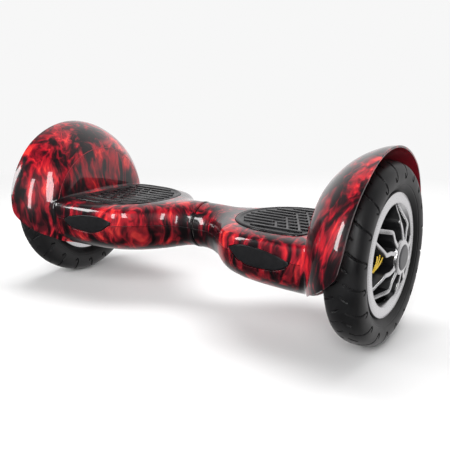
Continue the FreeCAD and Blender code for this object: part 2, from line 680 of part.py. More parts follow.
# ---------------------------------------------------------------- electronics

def boxes(*spans):
    """Boxes from (x, y, z) spans, as shapes."""
    return [Part.makeBox(x[1] - x[0], y[1] - y[0], z[1] - z[0], V(x[0], y[0], z[0])) for x, y, z in spans]


def lamp_board(word, side):
    """Strip of lamps behind the lens."""
    strip = boxes(((136, 205), (-99, -97.4), (116, 130)))
    lamps = boxes(*[((x, x + 5), (-100.4, -99), (121, 126)) for x in (142, 153, 164, 175, 186, 197)])
    group("led_board_" + word, [mirrored(s, side) for s in strip + lamps])


def sensor_board(word, side):
    """Gyro board on pillars, with a pair of light gates for each blade of the mat."""
    top = size("plate_underside") + size("plate_thickness")
    board = boxes(((118, 190), (-66, 66), (top + 4, top + 5.6)))
    pillars = [Part.makeCylinder(3, 4, V(x, y, top)) for x in (124, 184) for y in (-60, 60)]
    gates = boxes(*[(x, (way * 60 - 4, way * 60 + 4), (top + 5.6, 149)) for way in (1, -1)
                    for x in ((143.5, 147.5), (152.5, 156.5))])
    chip = boxes(((162, 172), (-5, 5), (top + 5.6, top + 7)))
    group("sensor_board_" + word, [mirrored(s, side) for s in board + pillars + gates + chip])


def electronics():
    """Main board in the right-hand half, battery in the left-hand one, and the two ports."""
    board = boxes(((96, 182), (-43, 43), (112, 113.6)))
    sink = boxes(((100, 142), (-32, 32), (113.6, size("plate_underside"))))
    plugs = boxes(*[((168, 180), (y - 7, y + 7), (102, 112)) for y in (-28, -9, 9, 28)])
    cans = [Part.makeCylinder(7.5, 22, V(112, y, 90)) for y in (-16, 4)]
    group("main_board", board + sink + plugs + cans)
    pack = doc.addObject("Part::Fillet", "battery_pack")
    pack.Base = box("battery_cells", (-190, -104), (-44, 44), (81, 123))
    doc.recompute()
    pack.Edges = [(i + 1, 4.0, 4.0) for i in range(len(pack.Base.Shape.Edges))]
    node(pack, "battery_pack")
    node(less("battery_bracket", box("bracket_outer", (-156, -138), (-46.6, 46.6), (79.2, 131)),
              [box("bracket_inner", (-157, -137), (-44.1, 44.1), (80.8, 132))]), "battery_bracket")
    port = V(size("socket_x"), 0, size("port_height"))
    face, depth = 105.2, size("plug_depth")
    barrel = rod("charge_socket_barrel", 9.0, 17.2, port + V(0, face - 17.2, 0), Y_AXIS)
    nut = rod("charge_socket_nut", 11.5, 2.5, port + V(0, 95.0, 0), Y_AXIS)
    bore = rod("charge_socket_bore", at("plug_radius"), at("plug_depth", 1), port + V(0, face - depth, 0), Y_AXIS)
    node(less("charge_socket", joined("charge_socket_body", [barrel, nut]), [bore]), "charge_socket")
    lid = rod("charge_cap_lid", 10.8, 2.4, port + V(0, 107.9, 0), Y_AXIS)
    tab = box("charge_cap_tab", (146, 154), (107.9, 110.3), (118, 124.5))
    knuckle = rod("charge_cap_knuckle", 1.2, 8.0, V(146, 109.1, 124.5))
    node(joined("charge_cap", [lid, tab, knuckle]), "charge_cap")
    edge = at("button_radius", -1)
    button = turned("power_button", [(0, 0), (9.8, 0), (9.8, edge), (8.8, at("button_radius")),
                                     (0, at("button_radius"))], V(0, 0, 0))
    button.Placement = FreeCAD.Placement(V(size("button_x"), 100.4, size("port_height")),
                                         FreeCAD.Rotation(X_AXIS, Y_AXIS))
    node(box("power_switch", (184, 200), (84, 98.2), (102, 118)), "power_switch")


def valve_tag():
    """Two strips of a maker's tag hung on the right-hand wheel's valve."""
    strips = []
    for lean, reach in ((-14, 21.5), (6, 19.0)):
        strip = Part.makeBox(0.5, 4.0, reach, V(17.6, -2.0, 48.0))
        strip.rotate(V(17.8, 0, 48.0), X_AXIS, lean)
        strips.append(set_in_wheel(strip, 1, VALVE_ANGLE - 90))
    group("valve_tag", strips)


casing_nodes()
pivot()
for word, side in SIDES:
    tyre(word, side)
    inner_tube(word, side)
    rim(word, side)
    hub_motor(word, side)
    bearings(word, side)
    wheel_trim(word, side)
    axle(word, side)
    frame(word, side)
    axle_clamp(word, side)
    foot_mat(word, side)
    lamp_board(word, side)
    sensor_board(word, side)
electronics()
valve_tag()
doc.recompute()

for thing in doc.Objects:
    if "Invalid" in thing.State or "Error" in thing.State:
        raise RuntimeError("%s did not rebuild: %s" % (thing.Name, thing.State))
for thing in nodes:
    if thing.Shape.isNull() or not thing.Shape.isValid():
        raise RuntimeError("%s has no sound shape" % thing.Label)

os.makedirs("parts", exist_ok=True)
for thing in nodes:
    thing.Shape.exportStep("parts/%s.step" % thing.Label)
    print("%-22s %3d solids %10.0f mm3" % (thing.Label, len(thing.Shape.Solids), thing.Shape.Volume))
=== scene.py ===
import json
import math

import bpy
import numpy as np
from mathutils import Matrix, Vector


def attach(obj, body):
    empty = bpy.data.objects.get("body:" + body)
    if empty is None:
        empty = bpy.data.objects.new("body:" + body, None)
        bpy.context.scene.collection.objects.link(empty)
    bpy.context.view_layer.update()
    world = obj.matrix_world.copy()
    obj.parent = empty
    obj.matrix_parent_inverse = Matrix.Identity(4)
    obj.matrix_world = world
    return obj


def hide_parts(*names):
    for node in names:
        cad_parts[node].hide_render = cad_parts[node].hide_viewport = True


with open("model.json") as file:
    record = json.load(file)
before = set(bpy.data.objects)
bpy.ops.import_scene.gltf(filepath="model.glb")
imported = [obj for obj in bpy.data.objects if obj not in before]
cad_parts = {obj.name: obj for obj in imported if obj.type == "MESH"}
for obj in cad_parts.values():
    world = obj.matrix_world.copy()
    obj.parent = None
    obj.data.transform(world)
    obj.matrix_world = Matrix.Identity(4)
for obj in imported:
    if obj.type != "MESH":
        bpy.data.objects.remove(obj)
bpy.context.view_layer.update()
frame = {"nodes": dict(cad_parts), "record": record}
MM = 0.001
SIDES = (("right", 1), ("left", -1))

# ------------------------------------------------------------------ sizes, in millimetres
AXLE_Z = 127.0
PARTING_Z = 124.5
WHEEL_X = 289.0
SKIN = 3.0
EDGE = 0.7            # rounding of the casings' edges
SKIRT_OVERLAP = 6.0   # how far the fender's skirt laps over the lower casing
SEAM = 0.15           # each casing stops this far from the parting line
NECK_GAP = 1.2        # each half's casing stops this far from the middle
MAT_GAP = 0.6         # room round a foot mat
LENS_GAP = 0.5        # room round a lamp lens
LENS_SET_BACK = 0.9   # a lens's edge lies this far below the casing's surface
PORT_Z = 110.0        # height of the charging port and the power button
PORTS = ((150.0, 9.4), (192.0, 8.35))   # their openings: along X, radius
SCREW_HOLE = 3.7      # radius of the opening over a casing screw
AXLE_HOLE = 13.5      # radius of the opening for the axle in the wall behind the wheel
RIB_WIDTH = 6.0
RIB_FOOT, RIB_TOP = 155.4, 157.35
VALVE_ANGLE = 186.0   # from the rear, in degrees, seen from outboard
FAR = 50.0            # value of a cutting field well away from the cut
GRAIN_DEPTH = 0.0002  # depth of a material's fine grain, in metres

# Casing's cross-sections: from the middle, half width, top, bottom, fullness above and below
SECTIONS = np.array((
    (0.0, 36.0, 160.5, 88.5, 2.0, 2.0), (12.0, 36.0, 160.5, 88.5, 2.0, 2.0),
    (24.0, 37.0, 160.2, 87.0, 2.1, 2.05), (45.0, 46.0, 158.0, 82.2, 2.5, 2.2),
    (65.0, 62.5, 156.8, 77.2, 3.0, 2.35), (85.0, 83.0, 156.3, 73.6, 3.8, 2.45),
    (105.0, 98.0, 156.1, 71.0, 4.7, 2.5), (130.0, 105.5, 156.0, 68.6, 5.4, 2.6),
    (160.0, 108.0, 156.0, 67.0, 5.8, 2.7), (200.0, 109.0, 156.0, 65.5, 6.0, 2.7),
    (240.0, 108.0, 156.0, 65.0, 6.0, 2.7)))
# Fender's outer profile: along X, radius about the axle
FENDER = ((226.0, 84.0), (229.0, 98.0), (233.5, 107.0), (241.0, 115.0), (252.0, 125.0),
          (266.0, 134.5), (280.0, 141.0), (293.0, 145.5), (304.6, 146.9))
# Fender's open edge seen from the front: along X, height
OPEN_EDGE = ((225.1, 73.2), (231.0, 77.5), (245.0, 88.5), (262.0, 99.5), (280.0, 114.0),
             (290.0, 124.5), (294.5, 133.0), (297.0, 144.0), (299.3, 156.0), (300.8, 172.0),
             (302.0, 190.0), (303.5, 215.0), (306.0, 250.0), (308.0, 290.0))
# Foot mat's outline, one half of it: along X, along Y
MAT = ((76.0, 0.0), (78.0, 20.0), (85.0, 40.0), (95.0, 56.0), (110.0, 70.0), (128.0, 79.5),
       (148.0, 84.5), (170.0, 86.0), (192.0, 86.0), (207.5, 83.0), (215.5, 75.0), (218.0, 61.0),
       (218.5, 36.0), (218.5, 0.0))
# Lamp lens seen from the front, above and below: along X, height
LENS_UPPER = ((110.0, 128.5), (134.0, 136.2), (165.0, 135.8), (195.0, 130.0), (214.0, 123.5))
LENS_LOWER = ((214.0, 123.5), (197.0, 112.0), (165.0, 107.8), (136.0, 111.5), (110.0, 128.5))
SCREW_SPOTS = ((120.0, 58.0), (165.0, 58.0), (205.0, 58.0))


# ------------------------------------------------------------------ node materials
class Paint:
    """A procedural material: node() adds a shader node, and the principled shader is .skin."""

    def __init__(self, name, **values):
        self.material = bpy.data.materials.new(name)
        self.material.use_nodes = True
        self.tree = self.material.node_tree
        self.skin = next(n for n in self.tree.nodes if n.type == "BSDF_PRINCIPLED")
        for socket, value in values.items():
            self.skin.inputs[socket.replace("_", " ")].default_value = value
        self.place = self.node("ShaderNodeTexCoord").outputs["Object"]

    def node(self, kind, settings=None, **inputs):
        node = self.tree.nodes.new(kind)
        for name, value in (settings or {}).items():
            setattr(node, name, value)
        for name, value in inputs.items():
            self.feed(node, name, value)
        return node

    def feed(self, node, name, value):
        socket = node.inputs[int(name[1:])] if name[0] == "_" else node.inputs[name]
        if isinstance(value, bpy.types.NodeSocket):
            self.tree.links.new(value, socket)
        else:
            socket.default_value = value

    def stretched(self, where, scale):
        return self.node("ShaderNodeMapping", Vector=where, Scale=scale).outputs[0]

    def noise(self, where, scale, detail=4.0, rough=0.5, distortion=0.0):
        return self.node("ShaderNodeTexNoise", Vector=where, Scale=scale, Detail=detail,
                         Roughness=rough, Distortion=distortion).outputs

    def maths(self, operation, a, b=0.5, clamp=False):
        return self.node("ShaderNodeMath", {"operation": operation, "use_clamp": clamp},
                         _0=a, _1=b).outputs[0]

    def ramp(self, value, stops):
        node = self.node("ShaderNodeValToRGB", Fac=value)
        line = node.color_ramp
        while len(line.elements) < len(stops):
            line.elements.new(0.5)
        for element, (spot, colour) in zip(line.elements, stops):
            element.position = spot
            element.color = (*colour, 1.0)
        return node.outputs[0]

    def spread(self, value, low, high, out_low, out_high):
        return self.node("ShaderNodeMapRange", Value=value, _1=low, _2=high, _3=out_low,
                         _4=out_high).outputs[0]

    def bump(self, height, strength):
        node = self.node("ShaderNodeBump", Height=height, Strength=strength, Distance=GRAIN_DEPTH)
        self.feed(self.skin, "Normal", node.outputs[0])

    def set(self, **inputs):
        for name, value in inputs.items():
            self.feed(self.skin, name.replace("_", " "), value)


def flame_paint(name, coat=1.0, gloss=0.035, bright=1.0):
    """Printed flames under clear lacquer: bright red tongues over maroon and black."""
    paint = Paint(name, Roughness=0.34, Coat_Weight=coat, Coat_Roughness=gloss, Coat_IOR=1.5)
    paint.skin.inputs["Specular IOR Level"].default_value = 0.25

    def pushed(where, scale, amount):
        flow = paint.noise(paint.stretched(where, (1, 1, 0.6)), scale, 2.0)["Color"]
        centred = paint.node("ShaderNodeVectorMath", {"operation": "SUBTRACT"}, _0=flow,
                             _1=(0.5, 0.5, 0.5)).outputs[0]
        moved = paint.node("ShaderNodeVectorMath", {"operation": "SCALE"}, _0=centred, Scale=amount)
        return paint.node("ShaderNodeVectorMath", {"operation": "ADD"}, _0=where,
                          _1=moved.outputs[0]).outputs[0]

    bent = pushed(pushed(paint.place, 10.0, 0.075), 34.0, 0.016)
    tall = paint.stretched(bent, (1, 1, 0.20))
    tongues = paint.noise(tall, 74.0, 3.0, 0.55, 0.5)["Fac"]
    wisps = paint.noise(tall, 52.0, 2.0, 0.5, 0.3)["Fac"]
    off_middle = paint.maths("ABSOLUTE", paint.maths("SUBTRACT", wisps, 0.5))
    thread = paint.spread(off_middle, 0.0, 0.07, 1.0, 0.0)
    patch = paint.noise(paint.stretched(bent, (1, 1, 0.7)), 17.0, 2.0, 0.5)["Fac"]
    body = paint.node("ShaderNodeMath", {"operation": "MULTIPLY_ADD"}, _0=tongues, _1=2.3, _2=-0.72)
    lit = paint.maths("ADD", body.outputs[0], paint.maths("MULTIPLY", thread, 0.26))
    dark = paint.spread(patch, 0.36, 0.60, -0.48, 0.12)
    heat = paint.maths("ADD", lit, dark, clamp=True)
    stops = ((0.0, (0.004, 0.002, 0.003)), (0.16, (0.014, 0.002, 0.004)),
             (0.36, (0.080, 0.002, 0.007)), (0.58, (0.26, 0.004, 0.013)),
             (0.82, (0.50, 0.008, 0.018)), (1.0, (0.74, 0.035, 0.028)))
    # bright scales all the flame colours; below 1 it darkens them as painted shade
    colour = paint.ramp(heat, [(spot, tuple(c * bright for c in shade)) for spot, shade in stops])
    paint.set(Base_Color=colour)
    peel = paint.noise(paint.place, 110.0, 1.0)["Fac"]
    wave = paint.node("ShaderNodeBump", Height=peel, Strength=0.02, Distance=0.001).outputs[0]
    paint.set(Coat_Normal=wave)
    return paint.material


def rubber(name, colour, rough, grain=900.0, strength=0.25):
    """Rubber with faint pale clouds and a fine grain."""
    paint = Paint(name, Roughness=rough, Specular_IOR_Level=0.4)
    cloud = paint.noise(paint.place, 35.0, 4.0)["Fac"]
    pale = tuple(min(1.0, c * 1.7 + 0.003) for c in colour)
    paint.set(Base_Color=paint.ramp(cloud, ((0.3, colour), (0.75, pale))),
              Roughness=paint.spread(cloud, 0.3, 0.7, rough - 0.05, rough + 0.09))
    paint.bump(paint.noise(paint.place, grain, 2.0)["Fac"], strength)
    return paint.material


def metal(name, colour, rough, grain=(40.0, 40.0, 40.0), strength=0.08):
    """Metal with slightly uneven polish."""
    paint = Paint(name, Metallic=1.0, Roughness=rough)
    streak = paint.noise(paint.stretched(paint.place, grain), 20.0, 3.0)["Fac"]
    dull = tuple(c * 0.86 for c in colour)
    paint.set(Base_Color=paint.ramp(streak, ((0.25, dull), (0.7, colour))),
              Roughness=paint.spread(streak, 0.3, 0.7, rough * 0.8, rough * 1.25))
    paint.bump(streak, strength)
    return paint.material


def plastic(name, colour, rough, coat=0.0, grain=600.0, strength=0.05):
    """Moulded plastic with a fine fleck, lacquered by so much."""
    paint = Paint(name, Roughness=rough, Coat_Weight=coat, Coat_Roughness=0.08)
    fleck = paint.noise(paint.place, grain, 2.0)["Fac"]
    pale = tuple(min(1.0, c * 1.15 + 0.004) for c in colour)
    paint.set(Base_Color=paint.ramp(fleck, ((0.3, colour), (0.7, pale))),
              Roughness=paint.spread(fleck, 0.3, 0.7, rough * 0.92, rough * 1.1))
    paint.bump(fleck, strength)
    return paint.material


FLAME = flame_paint("flame_lacquer")
# Lower casings' lacquer: a duller coat, and the flame colours darkened to 0.55 as painted shade for the
# downward-facing lower casing
FLAME_DULL_SHADED = flame_paint("flame_lacquer_lower_painted_shade", 0.4, 0.2, 0.55)
LINING = plastic("fender_lining", (0.20, 0.004, 0.012), 0.3, 0.5)
MAT_RUBBER = rubber("mat_rubber", (0.005, 0.005, 0.006), 0.27, 700.0, 0.08)
TYRE = rubber("tyre_rubber", (0.005, 0.005, 0.0055), 0.42, 1100.0, 0.12)
SOFT_BLACK = rubber("soft_black", (0.015, 0.015, 0.016), 0.55)
ALLOY = metal("machined_alloy", (0.78, 0.78, 0.79), 0.30)
CAST = metal("cast_alloy", (0.42, 0.42, 0.44), 0.5, (14, 14, 14), 0.4)
DARK_WEB = plastic("dark_web_paint", (0.008, 0.008, 0.009), 0.40, 0.3)
STEEL = metal("ground_steel", (0.5, 0.5, 0.52), 0.3)
BLACK_STEEL = metal("black_steel", (0.05, 0.05, 0.055), 0.38)
CAP = plastic("cap_plastic", (0.045, 0.045, 0.05), 0.38, 0.2)
LENS = plastic("smoked_lens", (0.005, 0.005, 0.006), 0.34, 0.15, 300.0, 0.01)
GLOSS_BLACK = plastic("gloss_black", (0.012, 0.012, 0.013), 0.2, 0.8)
BOARD = plastic("circuit_board", (0.02, 0.14, 0.06), 0.45)
COPPER = metal("copper_wire", (0.72, 0.32, 0.16), 0.3)
BRONZE = metal("bronze", (0.6, 0.42, 0.18), 0.35)
NYLON = plastic("natural_nylon", (0.8, 0.79, 0.72), 0.5)
WRAP = plastic("battery_wrap", (0.02, 0.09, 0.42), 0.3)
TAG = plastic("tag_film", (0.80, 0.52, 0.02), 0.4)

BY_SLOT = {
    "casing": FLAME, "lens": LENS, "board": BOARD, "socket": GLOSS_BLACK, "frame_cast": CAST,
    "steel": STEEL, "screws": BLACK_STEEL, "core_iron": STEEL, "copper": COPPER, "bush": BRONZE,
    "nylon": NYLON, "battery_wrap": WRAP, "bracket": STEEL, "mat_rubber": MAT_RUBBER,
    "button": GLOSS_BLACK, "tag": TAG, "tyre": TYRE, "tube_rubber": SOFT_BLACK, "rim_alloy": ALLOY,
    "bearing": STEEL, "hub_cap": CAP, "valve": SOFT_BLACK, "cable_sleeve": SOFT_BLACK}
for entry in frame["record"]["subparts"]:
    shown = frame["nodes"][entry["node"]]
    shown.data.materials.clear()
    shown.data.materials.append(BY_SLOT[entry["material_slot"]])


# ------------------------------------------------------------------ mesh helpers
def through(x, xs, ys):
    """A smooth curve through the points (xs, ys) that doesn't overshoot, read at x."""
    xs, ys = np.asarray(xs, float), np.asarray(ys, float)
    step = np.diff(xs)
    slope = np.diff(ys) / step
    lean = np.concatenate(([slope[0]], np.zeros(len(xs) - 2), [slope[-1]]))
    for i in range(1, len(xs) - 1):
        if slope[i - 1] * slope[i] > 0:
            a, b = 2 * step[i] + step[i - 1], step[i] + 2 * step[i - 1]
            lean[i] = (a + b) / (a / slope[i - 1] + b / slope[i])
    i = np.clip(np.searchsorted(xs, x) - 1, 0, len(xs) - 2)
    t = (x - xs[i]) / step[i]
    return ((2 * t ** 3 - 3 * t ** 2 + 1) * ys[i] + (t ** 3 - 2 * t ** 2 + t) * step[i] * lean[i]
            + (3 * t ** 2 - 2 * t ** 3) * ys[i + 1] + (t ** 3 - t ** 2) * step[i] * lean[i + 1])


def curve(points, count, closed=False):
    """A smooth line through 2-D points, at even steps."""
    p = np.asarray(points, float)
    if closed:
        p = np.vstack((p[-1], p, p[:2]))
    else:
        p = np.vstack((2 * p[0] - p[1], p, 2 * p[-1] - p[-2]))
    t = np.linspace(0, 1, 25)[:-1, None]
    runs = [0.5 * (2 * b + (c - a) * t + (2 * a - 5 * b + 4 * c - d) * t ** 2
                   + (3 * b - a - 3 * c + d) * t ** 3)
            for a, b, c, d in zip(p[:-3], p[1:-2], p[2:-1], p[3:])]
    line = np.vstack(runs + [p[-2:-1]])
    along = np.concatenate(([0], np.cumsum(np.linalg.norm(np.diff(line, axis=0), axis=1))))
    wanted = np.linspace(0, along[-1], count + 1 if closed else count)
    even = np.stack([np.interp(wanted, along, line[:, k]) for k in range(2)], 1)
    return even[:-1] if closed else even


def rounded(points, radius, steps=4, closed=True):
    """2-D corners with each rounded by an arc, at most as large as its sides allow."""
    p = [np.array(q[:2], float) for q in points]
    out = []
    for i, q in enumerate(p):
        if not closed and i in (0, len(p) - 1):
            out.append(q)
            continue
        before, after = p[i - 1] - q, p[(i + 1) % len(p)] - q
        a, b = np.linalg.norm(before), np.linalg.norm(after)
        before, after = before / a, after / b
        half = math.acos(max(-1.0, min(1.0, float(before @ after)))) / 2
        reach = min(radius / math.tan(half), 0.45 * a, 0.45 * b)
        if half > 1.5 or reach < 1e-3:
            out.append(q)
            continue
        for k in range(steps + 1):
            t = k / steps
            out.append((1 - t) ** 2 * (q + before * reach) + 2 * t * (1 - t) * q
                       + t ** 2 * (q + after * reach))
    return np.array(out)


def signed_distance(x, y, outline):
    """Distance of points from a closed outline: positive outside it, negative inside."""
    a = np.asarray(outline, float)
    b = np.roll(a, -1, axis=0)
    best = np.full(x.shape, 1e9)
    inside = np.zeros(x.shape, bool)
    for (ax, ay), (bx, by) in zip(a, b):
        dx, dy = bx - ax, by - ay
        t = np.clip(((x - ax) * dx + (y - ay) * dy) / (dx * dx + dy * dy), 0, 1)
        best = np.minimum(best, np.hypot(x - ax - t * dx, y - ay - t * dy))
        crosses = (ay > y) != (by > y)
        with np.errstate(divide="ignore", invalid="ignore"):
            inside ^= crosses & (x < (bx - ax) * (y - ay) / (by - ay) + ax)
    return np.where(inside, -best, best)


class Skin:
    """An open surface of points with normals, which can be cut and then given its thickness."""

    def __init__(self, grid, extra=None):
        rows, columns = grid.shape[:2]
        along, across = np.gradient(grid, axis=0), np.gradient(grid, axis=1)
        normal = np.cross(along, across)
        normal /= np.linalg.norm(normal, axis=2, keepdims=True) + 1e-12
        self.points = grid.reshape(-1, 3)
        self.normals = normal.reshape(-1, 3)
        self.extra = None if extra is None else extra.reshape(-1)
        index = np.arange(rows * columns).reshape(rows, columns)
        self.faces = np.stack((index[:-1, :-1], index[1:, :-1], index[1:, 1:], index[:-1, 1:]),
                              -1).reshape(-1, 4).tolist()

    def turn_to(self, value):
        """Turns the surface over if value, which is above 0 where it faces out, is mostly below."""
        if np.mean(value) < 0:
            self.normals *= -1
            self.faces = [f[::-1] for f in self.faces]

    def cut(self, value):
        """Keeps the side where value is above 0, with an exact edge where it is 0."""
        value = np.asarray(value, float)
        points, normals = list(self.points), list(self.normals)
        extra = None if self.extra is None else list(self.extra)
        made, kept = {}, []
        above = value > 0

        def crossing(i, j):
            key = (min(i, j), max(i, j))
            if key not in made:
                t = value[i] / (value[i] - value[j])
                made[key] = len(points)
                points.append(points[i] * (1 - t) + points[j] * t)
                n = normals[i] * (1 - t) + normals[j] * t
                normals.append(n / (np.linalg.norm(n) + 1e-12))
                if extra is not None:
                    extra.append(extra[i] * (1 - t) + extra[j] * t)
            return made[key]

        for face in self.faces:
            states = [above[i] for i in face]
            if all(states):
                kept.append(face)
            elif any(states):
                ring = []
                for i, j in zip(face, face[1:] + face[:1]):
                    if above[i]:
                        ring.append(i)
                    if above[i] != above[j]:
                        ring.append(crossing(i, j))
                if len(ring) > 2:
                    kept.append(ring)
        used = sorted({i for face in kept for i in face})
        new = {old: k for k, old in enumerate(used)}
        self.faces = [[new[i] for i in face] for face in kept]
        self.points = np.array([points[i] for i in used])
        self.normals = np.array([normals[i] for i in used])
        if extra is not None:
            self.extra = np.array([extra[i] for i in used])
        return self

    def solid(self, thickness=SKIN, radius=EDGE):
        """Closed mesh: this surface, its inner side, and rounded edges all round."""
        points, normals, faces = self.points, self.normals, self.faces
        count = len(points)
        edges = {}
        for face in faces:
            for i, j in zip(face, face[1:] + face[:1]):
                edges[(i, j)] = True
        rim = [(i, j) for i, j in edges if (j, i) not in edges]
        after, before = {}, {}
        for i, j in rim:
            after.setdefault(i, []).append(j)
            before.setdefault(j, []).append(i)
        border = sorted(after)
        out = np.zeros((count, 3))
        for i in border:
            ahead = np.mean([points[j] for j in after[i]], axis=0)
            behind = np.mean([points[j] for j in before[i]], axis=0)
            side = np.cross(ahead - behind, normals[i])
            out[i] = side / (np.linalg.norm(side) + 1e-12)
        for _ in range(2):
            smooth = out.copy()
            for i in border:
                smooth[i] = out[i] * 2 + out[after[i][0]] + out[before[i][0]]
                smooth[i] /= np.linalg.norm(smooth[i]) + 1e-12
            out = smooth
        place = {old: k for k, old in enumerate(border)}
        b, n, p = out[border], normals[border], points[border]
        layers, facing = [], []
        for turn in (math.radians(30), math.radians(60), math.radians(90)):
            layers.append(p + radius * math.sin(turn) * b - radius * (1 - math.cos(turn)) * n)
            facing.append(math.sin(turn) * b + math.cos(turn) * n)
        layers.append(p + radius * b - (thickness - radius) * n)
        facing.append(b)
        all_points = np.vstack([points, points - thickness * normals] + layers)
        all_normals = np.vstack([normals, -normals] + facing)
        all_faces = [list(f) for f in faces] + [[i + count for i in reversed(f)] for f in faces]
        start = 2 * count
        ring = len(border)
        for i, j in rim:
            a, c = place[i], place[j]
            chain_i = [i] + [start + k * ring + a for k in range(4)] + [i + count]
            chain_j = [j] + [start + k * ring + c for k in range(4)] + [j + count]
            for k in range(5):
                all_faces.append([chain_j[k], chain_i[k], chain_i[k + 1], chain_j[k + 1]])
        self.inner = range(len(faces), 2 * len(faces))
        return all_points, all_faces, all_normals


def joined(*shapes):
    """Several (points, faces, normals or None) as one shape."""
    points, faces, normals, start = [], [], [], 0
    for p, f, n in shapes:
        points.append(np.asarray(p, float))
        faces += [[i + start for i in face] for face in f]
        normals.append(np.zeros((len(p), 3)) if n is None else n)
        start += len(p)
    return np.vstack(points), faces, np.vstack(normals)


def handed(shape, side):
    """Mirrors a right-hand shape to the left."""
    points, faces, normals = shape
    if side > 0:
        return shape
    flip = np.array((-1.0, 1.0, 1.0))
    flipped = None if normals is None else normals * flip
    return points * flip, [list(reversed(f)) for f in faces], flipped


def piece(name, shape, materials, body, nodes=(), pick=None):
    """A mesh object from a shape, riding on a body and standing for CAD nodes."""
    points, faces, normals = shape
    mesh = bpy.data.meshes.new(name)
    mesh.from_pydata((points * MM).tolist(), [], faces)
    mesh.validate(verbose=False, clean_customdata=False)
    for material in materials if isinstance(materials, (list, tuple)) else [materials]:
        mesh.materials.append(material)
    mesh.shade_smooth()
    if pick is not None:
        mesh.polygons.foreach_set("material_index", np.asarray(pick, np.int32))
    if normals is not None and len(normals) == len(mesh.vertices):
        mesh.normals_split_custom_set_from_vertices(normals.tolist())
    else:
        mesh.set_sharp_from_angle(angle=math.radians(38))
    thing = bpy.data.objects.new(name, mesh)
    bpy.context.scene.collection.objects.link(thing)
    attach(thing, body)
    if nodes:
        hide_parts(*nodes)
    return thing


# ------------------------------------------------------------------ casings
def section_radius(x, angle, centre):
    """Distance from (0, centre) to the casing's outline at x, in the direction of an angle."""
    half, top, bottom, up, low = (through(x, SECTIONS[:, 0], SECTIONS[:, k]) for k in range(1, 6))
    near, far = np.zeros(np.broadcast(x, angle).shape), np.full(np.broadcast(x, angle).shape, 170.0)
    for _ in range(36):
        middle = (near + far) / 2
        y, z = middle * np.cos(angle), centre + middle * np.sin(angle) - PARTING_Z
        rise = np.where(z > 0, top - PARTING_Z, PARTING_Z - bottom)
        power = np.where(z > 0, up, low)
        inside = (np.abs(y) / half) ** power + (np.abs(z) / rise) ** power < 1
        near, far = np.where(inside, middle, near), np.where(inside, far, middle)
    return near


def softened(line, sigma, step):
    """A polyline with its corners eased, its ends kept."""
    reach = int(4 * sigma / step)
    pad = np.vstack((2 * line[0] - line[reach:0:-1], line, 2 * line[-1] - line[-2:-reach - 2:-1]))
    weight = np.exp(-0.5 * (np.arange(-reach, reach + 1) * step / sigma) ** 2)
    weight /= weight.sum()
    return np.stack([np.convolve(pad[:, k], weight, "valid") for k in range(line.shape[1])], 1)


def resampled(line, places):
    along = np.concatenate(([0], np.cumsum(np.linalg.norm(np.diff(line, axis=0), axis=1))))
    return np.stack([np.interp(places * along[-1], along, line[:, k]) for k in range(line.shape[1])], 1)


def upper_grid(deck_rows=116, dome_rows=74, columns=380):
    """The upper casing's outer surface: deck, neck and fender in one, swept round the axle's line."""
    angles = np.radians(np.linspace(-46, 226, columns))
    stations = np.arange(NECK_GAP + EDGE, 246.0, 0.5)
    ease = np.clip((stations - 200) / 25, 0, 1)
    centre = PARTING_Z + (AXLE_Z - PARTING_Z) * ease * ease * (3 - 2 * ease)
    radii = section_radius(stations[:, None], angles[None, :], centre[:, None])
    dome = np.vstack((np.stack((np.full(80, 226.0), np.linspace(0, 83, 80)), 1), curve(FENDER, 240)))
    grid = np.zeros((deck_rows + dome_rows, columns, 3))
    past = np.zeros((deck_rows + dome_rows, columns))
    deck_steps = 1 - (1 - np.linspace(0, 1, deck_rows)) ** 1.4
    dome_steps = np.linspace(0, 1, dome_rows + 1)[1:] ** 1.3
    for j, angle in enumerate(angles):
        deck_line = np.stack((stations, radii[:, j]), 1)
        under = np.interp(dome[:, 0], stations, radii[:, j])
        first = int(np.argmax(dome[:, 1] >= under))
        join_x = dome[first, 0]
        deck_part = deck_line[deck_line[:, 0] < join_x - 0.2]
        line = np.vstack((deck_part, dome[first:]))
        along = np.concatenate(([0], np.cumsum(np.linalg.norm(np.diff(line, axis=0), axis=1))))
        total, corner = along[-1], along[len(deck_part)]
        step = 0.4
        even = np.linspace(0, total, int(total / step) + 1)
        dense = np.stack([np.interp(even, along, line[:, k]) for k in range(2)], 1)
        soft = softened(dense, 3.2, total / (len(even) - 1))
        places = np.concatenate((deck_steps * corner, corner + dome_steps * (total - corner)))
        x, r = (np.interp(places, even, soft[:, k]) for k in range(2))
        height = np.interp(x, stations, centre)
        grid[:, j] = np.stack((x, r * np.cos(angle), height + r * np.sin(angle)), 1)
        past[:, j] = places - corner
    return grid[:, ::-1], past[:, ::-1]


def mat_outline(grow, count=150):
    loop = curve(list(MAT) + [(x, -y) for x, y in reversed(MAT[1:-1])], count, True)
    if grow:
        loop = grown(loop, grow)
    return loop


def twice_area(loop):
    """Twice a closed outline's area, negative where it runs clockwise."""
    behind = np.roll(loop, 1, axis=0)
    return np.sum(behind[:, 0] * loop[:, 1] - loop[:, 0] * behind[:, 1])


def grown(loop, distance):
    """A closed outline moved outward."""
    ahead, behind = np.roll(loop, -1, axis=0), np.roll(loop, 1, axis=0)
    chord = ahead - behind
    chord /= np.linalg.norm(chord, axis=1, keepdims=True)
    outward = np.stack((chord[:, 1], -chord[:, 0]), 1)
    return loop + math.copysign(1, twice_area(loop)) * distance * outward


def lens_outline(grow):
    loop = np.vstack((curve(LENS_UPPER, 40)[:-1], curve(LENS_LOWER, 40)[:-1]))
    for _ in range(3):
        loop = (loop * 2 + np.roll(loop, 1, axis=0) + np.roll(loop, -1, axis=0)) / 4
    return grown(loop, grow)


